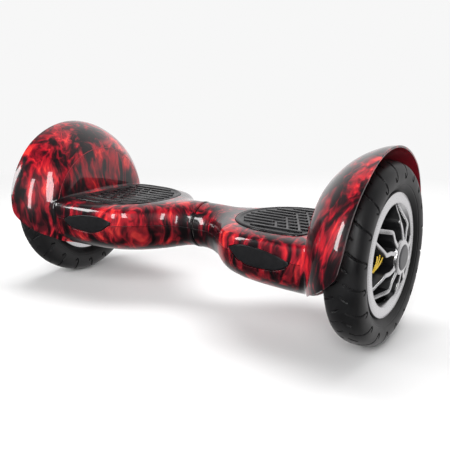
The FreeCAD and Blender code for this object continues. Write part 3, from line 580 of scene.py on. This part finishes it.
def plate(loop, low, high, edge=0.4):
    """A flat plate with an eased upper edge, from a closed 2-D outline."""
    loops = [(loop, low), (loop, high - edge), (grown(loop, -0.3 * edge), high - 0.3 * edge),
             (grown(loop, -edge), high)]
    count = len(loop)
    points = np.vstack([np.column_stack((q, np.full(count, z))) for q, z in loops])
    faces = [[k * count + i, k * count + (i + 1) % count, (k + 1) * count + (i + 1) % count,
              (k + 1) * count + i] for k in range(3) for i in range(count)]
    if twice_area(loop) < 0:
        faces = [f[::-1] for f in faces]
        faces += [list(range(count)), list(range(4 * count - 1, 3 * count - 1, -1))]
    else:
        faces += [list(range(count))[::-1], list(range(3 * count, 4 * count))]
    return points, faces, None


def cut_lens_hole(skin):
    """Opening for the lamp lens in the front of a casing."""
    x, y, z = skin.points.T
    field = np.full(len(x), FAR)
    near = (y < -50) & (x < 224) & (x > 100)
    field[near] = signed_distance(x[near], z[near], lens_outline(LENS_GAP + EDGE))
    skin.cut(field)


def upper_casing():
    """Deck, neck and fender as one shell, and which of its faces are the inner ones."""
    grid, past = upper_grid()
    skin = Skin(grid, past)
    skin.turn_to(skin.normals[:, 2] * (skin.points[:, 2] - AXLE_Z))
    x, y, z = skin.points.T
    skin.cut(np.maximum(z - (PARTING_Z + SEAM + EDGE), skin.extra + SKIRT_OVERLAP))
    x, y, z = skin.points.T
    below = np.vstack((curve(OPEN_EDGE, 120), ((340.0, 290.0), (340.0, -60.0), (225.1, -60.0))))
    skin.cut(signed_distance(x, z, below) - EDGE)
    x, y, z = skin.points.T
    field = np.full(len(x), FAR)
    near = (z > 140) & (x < 224.5) & (x > 66)
    field[near] = signed_distance(x[near], y[near], mat_outline(MAT_GAP + EDGE))
    skin.cut(field)
    cut_lens_hole(skin)
    return skin.solid(), skin.inner


def lower_casing():
    """Skin of the lower casing, with the openings for the lens and the screws."""
    columns = 250
    angles = np.radians(np.linspace(179, 361, columns))
    stations = np.arange(NECK_GAP + EDGE, 229.6, 0.5)
    radii = section_radius(stations[:, None], angles[None, :], PARTING_Z)
    grid = []
    for j in range(columns):
        line = np.stack((stations, radii[:, j]), 1)
        end = np.stack((np.full(60, 230.9), np.linspace(radii[-1, j] - 1.5, 16.0, 60)), 1)
        line = np.vstack((line, end))
        along = np.concatenate(([0], np.cumsum(np.linalg.norm(np.diff(line, axis=0), axis=1))))
        places = np.concatenate((np.linspace(0, along[len(stations) - 1], 116),
                                 np.linspace(along[len(stations) - 1], along[-1], 30)[1:]))
        x, r = (np.interp(places, along, line[:, k]) for k in range(2))
        grid.append(np.stack((x, r * math.cos(angles[j]), PARTING_Z + r * math.sin(angles[j])), 1))
    skin = Skin(np.stack(grid, 1))
    skin.turn_to(skin.normals[:, 2] * (skin.points[:, 2] - PARTING_Z))
    skin.cut(PARTING_Z - SEAM - EDGE - skin.points[:, 2])
    cut_lens_hole(skin)
    for sx, sy in SCREW_SPOTS:
        x, y, z = skin.points.T
        away = np.hypot(x - sx, np.abs(y) - sy) - SCREW_HOLE - EDGE
        skin.cut(np.where(z < 90, away, FAR))
    return skin


def ports_cut(skin):
    """Openings in the back for the charging socket and the power button."""
    for sx, radius in PORTS:
        x, y, z = skin.points.T
        skin.cut(np.where(y > 50, np.hypot(x - sx, z - PORT_Z) - radius - EDGE, FAR))
    return skin


def tray():
    """Floor of the recess that a foot mat lies in."""
    return plate(mat_outline(2.6), 150.5, 152.0)


def well_wall():
    """Disc behind the wheel that closes the casing."""
    count = 120
    angles = np.radians(np.linspace(0, 360, count, endpoint=False))
    outer = np.maximum(section_radius(np.full(count, 232.5), angles, AXLE_Z), 105.0) - 1.6
    rings = np.linspace(0, 1, 16)
    grid = np.zeros((16, count + 1, 3))
    closed = np.append(np.arange(count), 0)
    for k, t in enumerate(rings):
        r = AXLE_HOLE + t * (outer - AXLE_HOLE)
        ring = np.stack((np.full(count, 234.0), r * np.cos(angles), AXLE_Z + r * np.sin(angles)), 1)
        grid[k] = ring[closed]
    skin = Skin(grid)
    skin.normals = np.tile((1.0, 0.0, 0.0), (len(skin.points), 1))
    a, b, c = (skin.points[skin.faces[0][k]] for k in range(3))
    if np.cross(b - a, c - b)[0] < 0:
        skin.faces = [f[::-1] for f in skin.faces]
    skin.cut(skin.points[:, 2] - 79.5)
    return skin.solid(3.0, 0.4)


shell, inner_faces = upper_casing()
top = joined(shell, tray(), well_wall())
top_pick = np.zeros(len(top[1]), np.int32)
top_pick[inner_faces.start:inner_faces.stop] = 1
top_pick[len(shell[1]):] = 1
lower = lower_casing()
for word, side in SIDES:
    piece("upper_casing_" + word, handed(top, side), [FLAME, LINING], word + "_half",
          ["top_shell_" + word], top_pick)
# The lower casings take the flame lacquer darkened as painted shade
piece("lower_casing_left", handed(lower.solid(), -1), FLAME_DULL_SHADED, "left_half",
      ["bottom_shell_left"])
piece("lower_casing_right", ports_cut(lower).solid(), FLAME_DULL_SHADED, "right_half",
      ["bottom_shell_right"])


# ------------------------------------------------------------------ lamp lenses, mats, collar
def lens_shape():
    """Smoked lens that follows the casing's front, sunk a little and bulging in its middle."""
    columns, rows = 70, 110
    stations = np.linspace(106, 219, rows)
    angles = np.radians(180 + np.linspace(-18, 18, columns))
    radii = section_radius(stations[:, None], angles[None, :], PARTING_Z)
    grid = np.stack((np.broadcast_to(stations[:, None], radii.shape), radii * np.cos(angles),
                     PARTING_Z + radii * np.sin(angles)), 2)
    skin = Skin(grid)
    skin.turn_to(-skin.normals[:, 1])
    skin.cut(-signed_distance(skin.points[:, 0], skin.points[:, 2], lens_outline(-0.1 - LENS_SET_BACK)))
    inward = signed_distance(skin.points[:, 0], skin.points[:, 2], lens_outline(0))
    sunk = LENS_SET_BACK - 0.5 * np.clip(-inward / 9, 0, 1)
    skin.points = skin.points - skin.normals * sunk[:, None]
    return skin.solid(2.2, 0.9)


def bar(start, end, y):
    """A raised rib with rounded ends and top, along X."""
    half, steps = RIB_WIDTH / 2, 5
    ring = []
    for k in range(2 * steps + 1):
        t = math.pi * (k / (2 * steps)) - math.pi / 2
        ring.append((end - half + half * math.cos(t), y + half * math.sin(t)))
    for k in range(2 * steps + 1):
        t = math.pi * (k / (2 * steps)) + math.pi / 2
        ring.append((start + half + half * math.cos(t), y + half * math.sin(t)))
    return plate(np.array(ring), RIB_FOOT, RIB_TOP, 0.55)


def mat_shape():
    """Rubber mat: rolled border, lower field, long ribs and shorter staggered ones near the fender."""
    loop = mat_outline(0, 170)
    count = len(loop)
    profile = ((0.0, 154.0), (0.0, 155.4), (-0.35, 156.1), (-1.0, 156.6), (-2.2, 156.95),
               (-3.6, 157.05), (-5.0, 156.9), (-6.0, 156.4), (-6.9, 155.85), (-8.4, 155.6))
    points = np.vstack([np.column_stack((grown(loop, inset), np.full(count, z)))
                        for inset, z in profile])
    faces = [[k * count + i, k * count + (i + 1) % count, (k + 1) * count + (i + 1) % count,
              (k + 1) * count + i] for k in range(len(profile) - 1) for i in range(count)]
    top = (len(profile) - 1) * count
    faces += [list(range(count))[::-1], list(range(top, top + count))]
    if twice_area(loop) < 0:
        faces = [f[::-1] for f in faces]
    shapes = [(points, faces, None)]
    field = grown(loop, -10.5)
    for number, y in enumerate(range(-64, 65, 16)):
        inside = field[np.abs(field[:, 1] - y) < 6.0]
        if len(inside) < 2:
            continue
        left = max(np.interp(y + d, *sorted_edge(field, False)) for d in (-2.5, 0, 2.5))
        right = min(np.interp(y + d, *sorted_edge(field, True)) for d in (-2.5, 0, 2.5))
        if right - left < 14:
            continue
        if abs(y) > 50:
            shapes.append(bar(left, right, y))
        else:
            gap, first = 4.2, 150.0 + (9.0 if number % 2 else 0.0)
            spots = [left, first] + [first + 18.5 * k for k in range(1, 4)] + [right]
            spots = [s for s in spots if s <= right]
            for a, b in zip(spots, spots[1:]):
                if b - a > 8:
                    shapes.append(bar(a, b - (gap if b < right else 0.0), y))
    return joined(*shapes)[:2] + (None,)


def sorted_edge(loop, outer):
    """Y against X along a mat outline's neck side or its fender side, sorted by Y."""
    split = 145.0
    part = loop[loop[:, 0] > split] if outer else loop[loop[:, 0] <= split]
    order = np.argsort(part[:, 1])
    return part[order, 1], part[order, 0]


def lathe(profile, centre, count=160):
    """A ring swept round a line along X through centre, from (along X, radius) points."""
    p = np.asarray(profile, float)
    angles = np.linspace(0, 2 * math.pi, count, endpoint=False)
    points = np.stack([np.stack((np.full(count, centre[0] + x), centre[1] + r * np.cos(angles),
                                 centre[2] + r * np.sin(angles)), 1) for x, r in p])
    points = points.reshape(-1, 3)
    n = len(p)
    faces = []
    area = np.sum(p[:, 0] * np.roll(p[:, 1], -1) - np.roll(p[:, 0], -1) * p[:, 1])
    for k in range(n):
        a, b = k * count, ((k + 1) % n) * count
        for i in range(count):
            j = (i + 1) % count
            face = [a + i, b + i, b + j, a + j]
            faces.append(face if area > 0 else face[::-1])
    return points, faces, None


lens = lens_shape()
mat = mat_shape()
for word, side in SIDES:
    piece("lens_" + word, handed(lens, side), LENS, word + "_half", ["led_lens_" + word])
    piece("mat_" + word, handed(mat, side), MAT_RUBBER, "foot_mat_" + word,
          ["foot_mat_" + word])
collar = rounded(((-6.6, 34.9), (-2.2, 34.9), (-2.2, 36.9), (-6.6, 36.9)), 0.9, 5)
piece("neck_collar", lathe(collar, (0, 0, PARTING_Z), 200), FLAME, "left_half",
      ["seam_ring"])


# ------------------------------------------------------------------ wheels
# Each in its own frame: the axle along X, with +X outboard
TREAD_SECTORS = 20
SECTOR_COLUMNS = 46
TREAD_RADIUS = 122.0
# Grooves in one sector: along the tyre's profile from its middle, round the tyre
HOOK = ((7.5, -9.5), (13.0, -6.0), (20.0, -2.6), (28.0, -0.2), (35.5, 0.9), (38.6, 2.4), (39.6, 5.0),
        (38.2, 7.4), (34.6, 8.2))
CHEVRON = ((1.6, 6.5), (6.0, 10.6), (11.0, 13.2))
# Tyre's outer and inner profile, one half of each: along X, radius
TYRE_HALF = ((0.0, 127.0), (12.0, 125.6), (20.8, 121.3), (25.5, 114.4), (26.9, 106.0),
             (25.2, 98.0), (21.6, 92.2), (18.4, 88.6), (16.4, 84.5), (15.9, 79.0))
TYRE_PROFILE = tuple((-x, r) for x, r in TYRE_HALF[:0:-1]) + TYRE_HALF
HOLLOW_HALF = ((13.5, 79.0), (13.0, 87.0), (15.0, 93.0), (20.0, 101.0), (20.5, 107.0), (15.0, 117.0))
HOLLOW = HOLLOW_HALF + ((0.0, 120.6),) + tuple((-x, r) for x, r in HOLLOW_HALF[::-1])


def run_distance(s, a, path):
    """Distance of surface spots (along the profile, round the tyre) from a groove's line."""
    best = np.full(s.shape, 1e9)
    for (s0, a0), (s1, a1) in zip(path, path[1:]):
        ds, da = s1 - s0, a1 - a0
        t = np.clip(((s - s0) * ds + (a - a0) * da) / (ds * ds + da * da), 0, 1)
        best = np.minimum(best, np.hypot(s - s0 - t * ds, a - a0 - t * da))
    return best


def tyre_shape():
    """Tyre with its grooves cut into the surface, hollow inside."""
    fine = curve(TYRE_PROFILE, 150)
    along = np.concatenate(([0], np.cumsum(np.linalg.norm(np.diff(fine, axis=0), axis=1))))
    along -= along[-1] / 2
    count = TREAD_SECTORS * SECTOR_COLUMNS
    pitch = 2 * math.pi * TREAD_RADIUS / TREAD_SECTORS
    around = (np.arange(count) + 0.5) * (pitch / SECTOR_COLUMNS)
    s, a = np.meshgrid(along, around, indexing="ij")
    depth = np.zeros(s.shape)
    for way, shift in ((1, 0.0), (-1, 0.5)):
        for path, width, deep in ((HOOK, 1.15, 2.0), (CHEVRON, 1.05, 1.7)):
            local = (a - shift * pitch) % pitch
            for turn in (-pitch, 0.0, pitch):
                gap = run_distance(way * s, local - pitch / 2 + turn, path)
                depth = np.maximum(depth, deep * np.clip(1.35 - (gap / width) ** 2, 0, 1))
    for line in (48.5, -48.5):
        depth = np.maximum(depth, 0.4 * np.clip(1.3 - (np.abs(s - line) / 0.45) ** 2, 0, 1))
    lean = np.gradient(fine, axis=0)
    lean /= np.linalg.norm(lean, axis=1, keepdims=True)
    out = np.stack((-lean[:, 1], lean[:, 0]), 1)
    out *= np.sign(np.sum(out * (fine - np.array((0, 100))), axis=1))[:, None]
    x = fine[:, 0, None] - depth * out[:, 0, None]
    r = fine[:, 1, None] - depth * out[:, 1, None]
    inner = np.array(HOLLOW)
    x = np.vstack((x, np.broadcast_to(inner[:, 0, None], (len(inner), count))))
    r = np.vstack((r, np.broadcast_to(inner[:, 1, None], (len(inner), count))))
    angle = around / TREAD_RADIUS
    points = np.stack((x, r * np.cos(angle), r * np.sin(angle)), 2).reshape(-1, 3)
    rows = x.shape[0]
    index = np.arange(rows * count).reshape(rows, count)
    down, right = np.roll(index, -1, 0), np.roll(index, -1, 1)
    faces = np.stack((index, down, np.roll(down, -1, 1), right), -1).reshape(-1, 4)
    return points, faces[:, ::-1].tolist(), None


SPOKE_PAIRS = 5
# One arm of a pair: radius, degrees from the pair's centre line
SPOKE_ARM = ((72.0, 4.3), (48.0, 19.5), (37.0, 14.0), (21.5, 11.2))
SPOKE_PHASE = 2.0
# Face of the spokes: radius, place along the axle
FACE_LINE = ((20.0, 34.2), (24.0, 33.9), (36.0, 32.2), (48.5, 30.0), (60.0, 22.6), (72.5, 14.2))
# Section of an arm: across it, drop below the face or None at its foot, place of the foot
SPOKE_SECTION = ((-3.3, None, 4.5), (-3.1, 1.3, 0), (-2.85, 0.5, 0), (-2.3, 0.0, 0), (0.0, -0.12, 0),
                 (2.3, 0.0, 0), (2.85, 0.5, 0), (3.1, 1.3, 0), (3.3, None, 4.5))
RIM_SIDES = 200


def spoke(turn, way):
    """One dog-leg arm with eased edges, swept from the barrel to the boss."""
    line = []
    for radius, degrees in SPOKE_ARM:
        angle = math.radians(SPOKE_PHASE + turn + way * degrees)
        line.append((radius * math.cos(angle), radius * math.sin(angle)))
    bent = rounded(line, 3.5, 6, False)
    bent = resampled(bent, np.linspace(0, 1, 44))
    lean = np.gradient(bent, axis=0)
    lean /= np.linalg.norm(lean, axis=1, keepdims=True)
    side = np.stack((-lean[:, 1], lean[:, 0]), 1)
    radius = np.linalg.norm(bent, axis=1)
    top = through(radius, [p[0] for p in FACE_LINE], [p[1] for p in FACE_LINE])
    grid = []
    for across, drop, base in SPOKE_SECTION:
        spot = bent + side * across
        height = np.full(len(bent), base) if drop is None else top - drop
        grid.append(np.column_stack((height, spot)))
    grid = np.array(grid)
    rows, columns = grid.shape[:2]
    index = np.arange(rows * columns).reshape(rows, columns)
    faces = np.stack((index[:-1, :-1], index[1:, :-1], index[1:, 1:], index[:-1, 1:]), -1)
    faces = faces.reshape(-1, 4).tolist()
    faces += [[int(i) for i in index[:, 0]], [int(i) for i in index[::-1, -1]]]
    faces += [[int(index[0, k]), int(index[0, k + 1]), int(index[-1, k + 1]), int(index[-1, k])]
              for k in range(columns - 1)]
    return grid.reshape(-1, 3), faces, None


def rim_shape():
    """Barrel, polished lips, web and boss, with the material of each face: 0 alloy, 1 dark."""
    outer = rounded(((-21.0, 70.5), (-20.0, 84.5), (-17.2, 84.5), (-16.1, 78.8), (16.1, 78.8),
                     (17.2, 86.0), (20.5, 86.0), (21.9, 81.5), (22.5, 74.5), (21.3, 71.6),
                     (14.5, 67.0), (11.5, 66.6), (11.0, 70.5), (6.0, 70.5), (5.0, 70.5),
                     (2.5, 70.5)), 1.0, 3, False)
    barrel = lathe(outer, (0, 0, 0), RIM_SIDES)
    ends = np.roll(outer, -1, axis=0)
    inside = (outer[:, 0] < 12.5) & (outer[:, 1] < 71.0) & (ends[:, 1] < 71.0)
    web = lathe(((5.9, 71.5), (5.9, 22.0), (2.5, 22.0), (2.5, 71.5)), (0, 0, 0))
    boss = rounded(((5.0, 24.3), (31.5, 24.3), (34.9, 23.3), (36.5, 21.0), (36.5, 17.4),
                    (33.0, 17.4), (33.0, 14.2), (20.0, 14.2), (20.0, 17.6), (5.0, 17.6)), 0.7, 3)
    boss = lathe(boss, (0, 0, 0))
    arms = [spoke(360 / SPOKE_PAIRS * k, way) for k in range(SPOKE_PAIRS) for way in (1, -1)]
    shape = joined(barrel, web, boss, *arms)
    centres = np.array([np.mean(boss[0][f], axis=0) for f in boss[1]])
    pick = np.repeat(inside.astype(int), RIM_SIDES).tolist() + [1] * len(web[1])
    pick += (centres[:, 0] < 31.0).astype(int).tolist()
    bands = len(SPOKE_SECTION) - 1
    for arm in arms:
        steps = len(arm[0]) // len(SPOKE_SECTION) - 1
        pick += [1 if k in (0, bands - 1) else 0 for k in range(bands) for _ in range(steps)]
        pick += [1] * (len(arm[1]) - bands * steps)
    return (shape[0], shape[1], None), pick


def placed(shape, side):
    """A wheel's piece moved to its side: the left wheel is the right one turned half round."""
    points, faces, _ = shape
    turn = np.array((side, side, 1.0))
    return points * turn + np.array((side * WHEEL_X, 0, AXLE_Z)), faces, None


def cap_shape():
    profile = rounded(((33.6, 0.01), (33.6, 17.1), (36.4, 17.1), (37.3, 16.3), (37.9, 13.5),
                       (38.05, 0.01)), 0.6, 4, False)
    return lathe(profile, (0, 0, 0), 120)


def strip(lean, reach, curl, start):
    """One hanging strip of the tag, curling a little."""
    rows = 26
    t = np.linspace(0, 1, rows)
    bend = np.radians(lean + curl * t)
    along = np.cumsum(np.stack((np.sin(bend), np.cos(bend)), 1) * reach / rows, axis=0)
    lift = 5.0 * np.sin(t * math.pi * 0.6)
    out = []
    for across, up in ((-2.0, 0.0), (2.0, 0.0), (2.0, 0.35), (-2.0, 0.35)):
        normal = np.stack((np.cos(bend), -np.sin(bend)), 1)
        spot = along + normal * across
        out.append(np.stack((18.6 + lift + up, start[0] + spot[:, 0], start[1] + spot[:, 1]), 1))
    grid = np.array(out)
    index = np.arange(4 * rows).reshape(4, rows)
    down = np.roll(index, -1, 0)
    faces = np.stack((index[:, :-1], down[:, :-1], down[:, 1:], index[:, 1:]), -1)
    faces = faces.reshape(-1, 4).tolist()
    faces += [[int(i) for i in index[::-1, 0]], [int(i) for i in index[:, -1]]]
    return grid.reshape(-1, 3), faces, None


# The tag's strips: lean, length, curl, radius that they hang from
TAG_STRIPS = ((97, 23.0, 10, 66.0), (126, 25.0, -12, 65.0), (150, 29.0, -14, 64.0))


def tag_shape():
    points, faces, _ = joined(*(strip(lean, reach, curl, (-2.0, root))
                                for lean, reach, curl, root in TAG_STRIPS))
    turn = math.radians(VALVE_ANGLE - 90)
    c, s = math.cos(turn), math.sin(turn)
    y, z = points[:, 1] * c - points[:, 2] * s, points[:, 1] * s + points[:, 2] * c
    return np.stack((points[:, 0], y, z), 1), faces, None


tyre = tyre_shape()
rim, rim_pick = rim_shape()
cap = cap_shape()
for word, side in SIDES:
    wheel = word + "_wheel"
    piece("tyre_tread_" + word, placed(tyre, side), TYRE, wheel, ["tyre_" + word])
    piece("alloy_rim_" + word, placed(rim, side), [ALLOY, DARK_WEB], wheel,
          ["rim_" + word], rim_pick)
    piece("centre_cap_" + word, placed(cap, side), CAP, wheel, ["hub_cap_" + word])
piece("valve_strips", placed(tag_shape(), 1), TAG, "right_wheel", ["valve_tag"])


# ------------------------------------------------------------------ stage, light, camera
def stage_piece(name, points, faces, material, only_seen=False):
    mesh = bpy.data.meshes.new(name)
    mesh.from_pydata(points, [], faces)
    mesh.materials.append(material)
    mesh.shade_smooth()
    thing = bpy.data.objects.new(name, mesh)
    bpy.context.scene.collection.objects.link(thing)
    if only_seen:
        thing.visible_diffuse = thing.visible_glossy = thing.visible_shadow = False
        thing.visible_transmission = False
    return thing


def area_light(name, place, target, width, height, power):
    lamp = bpy.data.lights.new(name, "AREA")
    lamp.shape, lamp.size, lamp.size_y, lamp.energy = "RECTANGLE", width, height, power
    thing = bpy.data.objects.new(name, lamp)
    thing.location = place
    thing.rotation_euler = (Vector(target) - Vector(place)).to_track_quat("-Z", "Y").to_euler()
    bpy.context.scene.collection.objects.link(thing)
    return thing


def paper(name, near, far):
    """Pale paper that fades to one even brightness between two distances from the middle."""
    paint = Paint(name, Roughness=0.9, Specular_IOR_Level=0.1)
    paint.set(Base_Color=paint.ramp(paint.noise(paint.place, 3.0)["Fac"],
                                    ((0.3, (0.86, 0.86, 0.86)), (0.7, (0.88, 0.88, 0.88)))))
    flat = paint.node("ShaderNodeVectorMath", {"operation": "MULTIPLY"}, _0=paint.place, _1=(1, 1, 0))
    reach = paint.node("ShaderNodeVectorMath", {"operation": "LENGTH"}, _0=flat.outputs[0])
    share = paint.spread(reach.outputs["Value"], near, far, 0.0, 1.0)
    glow = paint.node("ShaderNodeEmission", Color=(0.93, 0.93, 0.93, 1.0), Strength=1.0)
    blend = paint.node("ShaderNodeMixShader", _0=share, _1=paint.skin.outputs[0], _2=glow.outputs[0])
    out = next(n for n in paint.tree.nodes if n.type == "OUTPUT_MATERIAL")
    paint.tree.links.new(blend.outputs[0], out.inputs["Surface"])
    return paint.material


PAPER = paper("pale_paper", 0.5, 1.5)
BACKDROP = paper("pale_backdrop", 0.1, 0.2)
FLOOR_SIDES = 96
FLOOR_REACH, COVE, WALL_TOP = 3.2, 0.6, 5.0     # in metres
around = [2 * math.pi * k / FLOOR_SIDES for k in range(FLOOR_SIDES)]
floor_points = [(0, 0, 0)] + [(FLOOR_REACH * math.cos(t), FLOOR_REACH * math.sin(t), 0)
                              for t in around]
floor_faces = [[0, 1 + k, 1 + (k + 1) % FLOOR_SIDES] for k in range(FLOOR_SIDES)]
floor = stage_piece("floor", floor_points, floor_faces, PAPER)
floor.visible_glossy = False
bends = [math.pi / 2 * k / 8 for k in range(1, 9)]
levels = [(FLOOR_REACH, 0.0)]
levels += [(FLOOR_REACH + COVE * math.sin(t), COVE - COVE * math.cos(t)) for t in bends]
levels += [(FLOOR_REACH + COVE, WALL_TOP)]
wall_points = [(r * math.cos(t), r * math.sin(t), z) for r, z in levels for t in around]
wall_faces = []
for k in range(len(levels) - 1):
    low, high = k * FLOOR_SIDES, (k + 1) * FLOOR_SIDES
    for i in range(FLOOR_SIDES):
        after = (i + 1) % FLOOR_SIDES
        wall_faces.append([low + i, high + i, high + after, low + after])
stage_piece("backdrop", wall_points, wall_faces, BACKDROP, True)

world = bpy.data.worlds.new("studio")
bpy.context.scene.world = world
world.use_nodes = True
sky = world.node_tree.nodes["Background"]
sky.inputs["Color"].default_value = (1.0, 0.985, 0.99, 1.0)
heading = world.node_tree.nodes.new("ShaderNodeTexCoord")
facing = world.node_tree.nodes.new("ShaderNodeVectorMath")
facing.operation = "DOT_PRODUCT"
facing.inputs[1].default_value = (0.05, 0.99, 0.10)
bright = world.node_tree.nodes.new("ShaderNodeMapRange")
bright.interpolation_type = "SMOOTHSTEP"
for index, value in ((1, -0.30), (2, 0.85), (3, 0.05), (4, 0.85)):
    bright.inputs[index].default_value = value
world.node_tree.links.new(heading.outputs["Generated"], facing.inputs[0])
world.node_tree.links.new(facing.outputs["Value"], bright.inputs[0])
world.node_tree.links.new(bright.outputs[0], sky.inputs["Strength"])

MIDDLE = (0.0, 0.0, 0.13)
area_light("softbox_top", (-0.2, 0.5, 1.9), MIDDLE, 1.8, 1.0, 27).visible_glossy = False
area_light("softbox_front", (0.3, -1.9, 1.1), MIDDLE, 1.8, 1.0, 14).visible_glossy = False
area_light("softbox_back", (0.3, 1.9, 0.9), MIDDLE, 1.4, 0.6, 10).visible_glossy = False
area_light("strip_left", (-0.05, -1.62, 0.55), (-0.26, -0.12, 0.17), 0.20, 1.1, 8.0)
area_light("strip_near", (0.68, -1.15, 0.78), (-0.24, -0.11, 0.17), 0.20, 1.1, 8.0)
area_light("strip_far", (-1.15, -1.1, 0.72), (0.1, -0.12, 0.16), 0.34, 0.8, 10)

YAW, PITCH, ROLL = 0.597, 0.236, 0.015          # of the camera, in radians
CAMERA_X, CAMERA_Y, CAMERA_Z = 0.5788, -0.7954, 0.3603
forward = Vector((-math.sin(YAW) * math.cos(PITCH), math.cos(YAW) * math.cos(PITCH),
                  -math.sin(PITCH)))
level = Vector((math.cos(YAW), math.sin(YAW), 0))
upward = level.cross(forward)
across = math.cos(ROLL) * level + math.sin(ROLL) * upward
upright = -math.sin(ROLL) * level + math.cos(ROLL) * upward
camera = bpy.data.cameras.new("camera")
camera.sensor_width, camera.lens = 36.0, 50.155
camera.clip_start, camera.clip_end = 0.05, 50.0
viewer = bpy.data.objects.new("camera", camera)
viewer.matrix_world = Matrix((
    (across.x, upright.x, -forward.x, CAMERA_X), (across.y, upright.y, -forward.y, CAMERA_Y),
    (across.z, upright.z, -forward.z, CAMERA_Z), (0, 0, 0, 1)))
bpy.context.scene.collection.objects.link(viewer)
bpy.context.scene.camera = viewer
bpy.context.scene.view_settings.view_transform = "Standard"
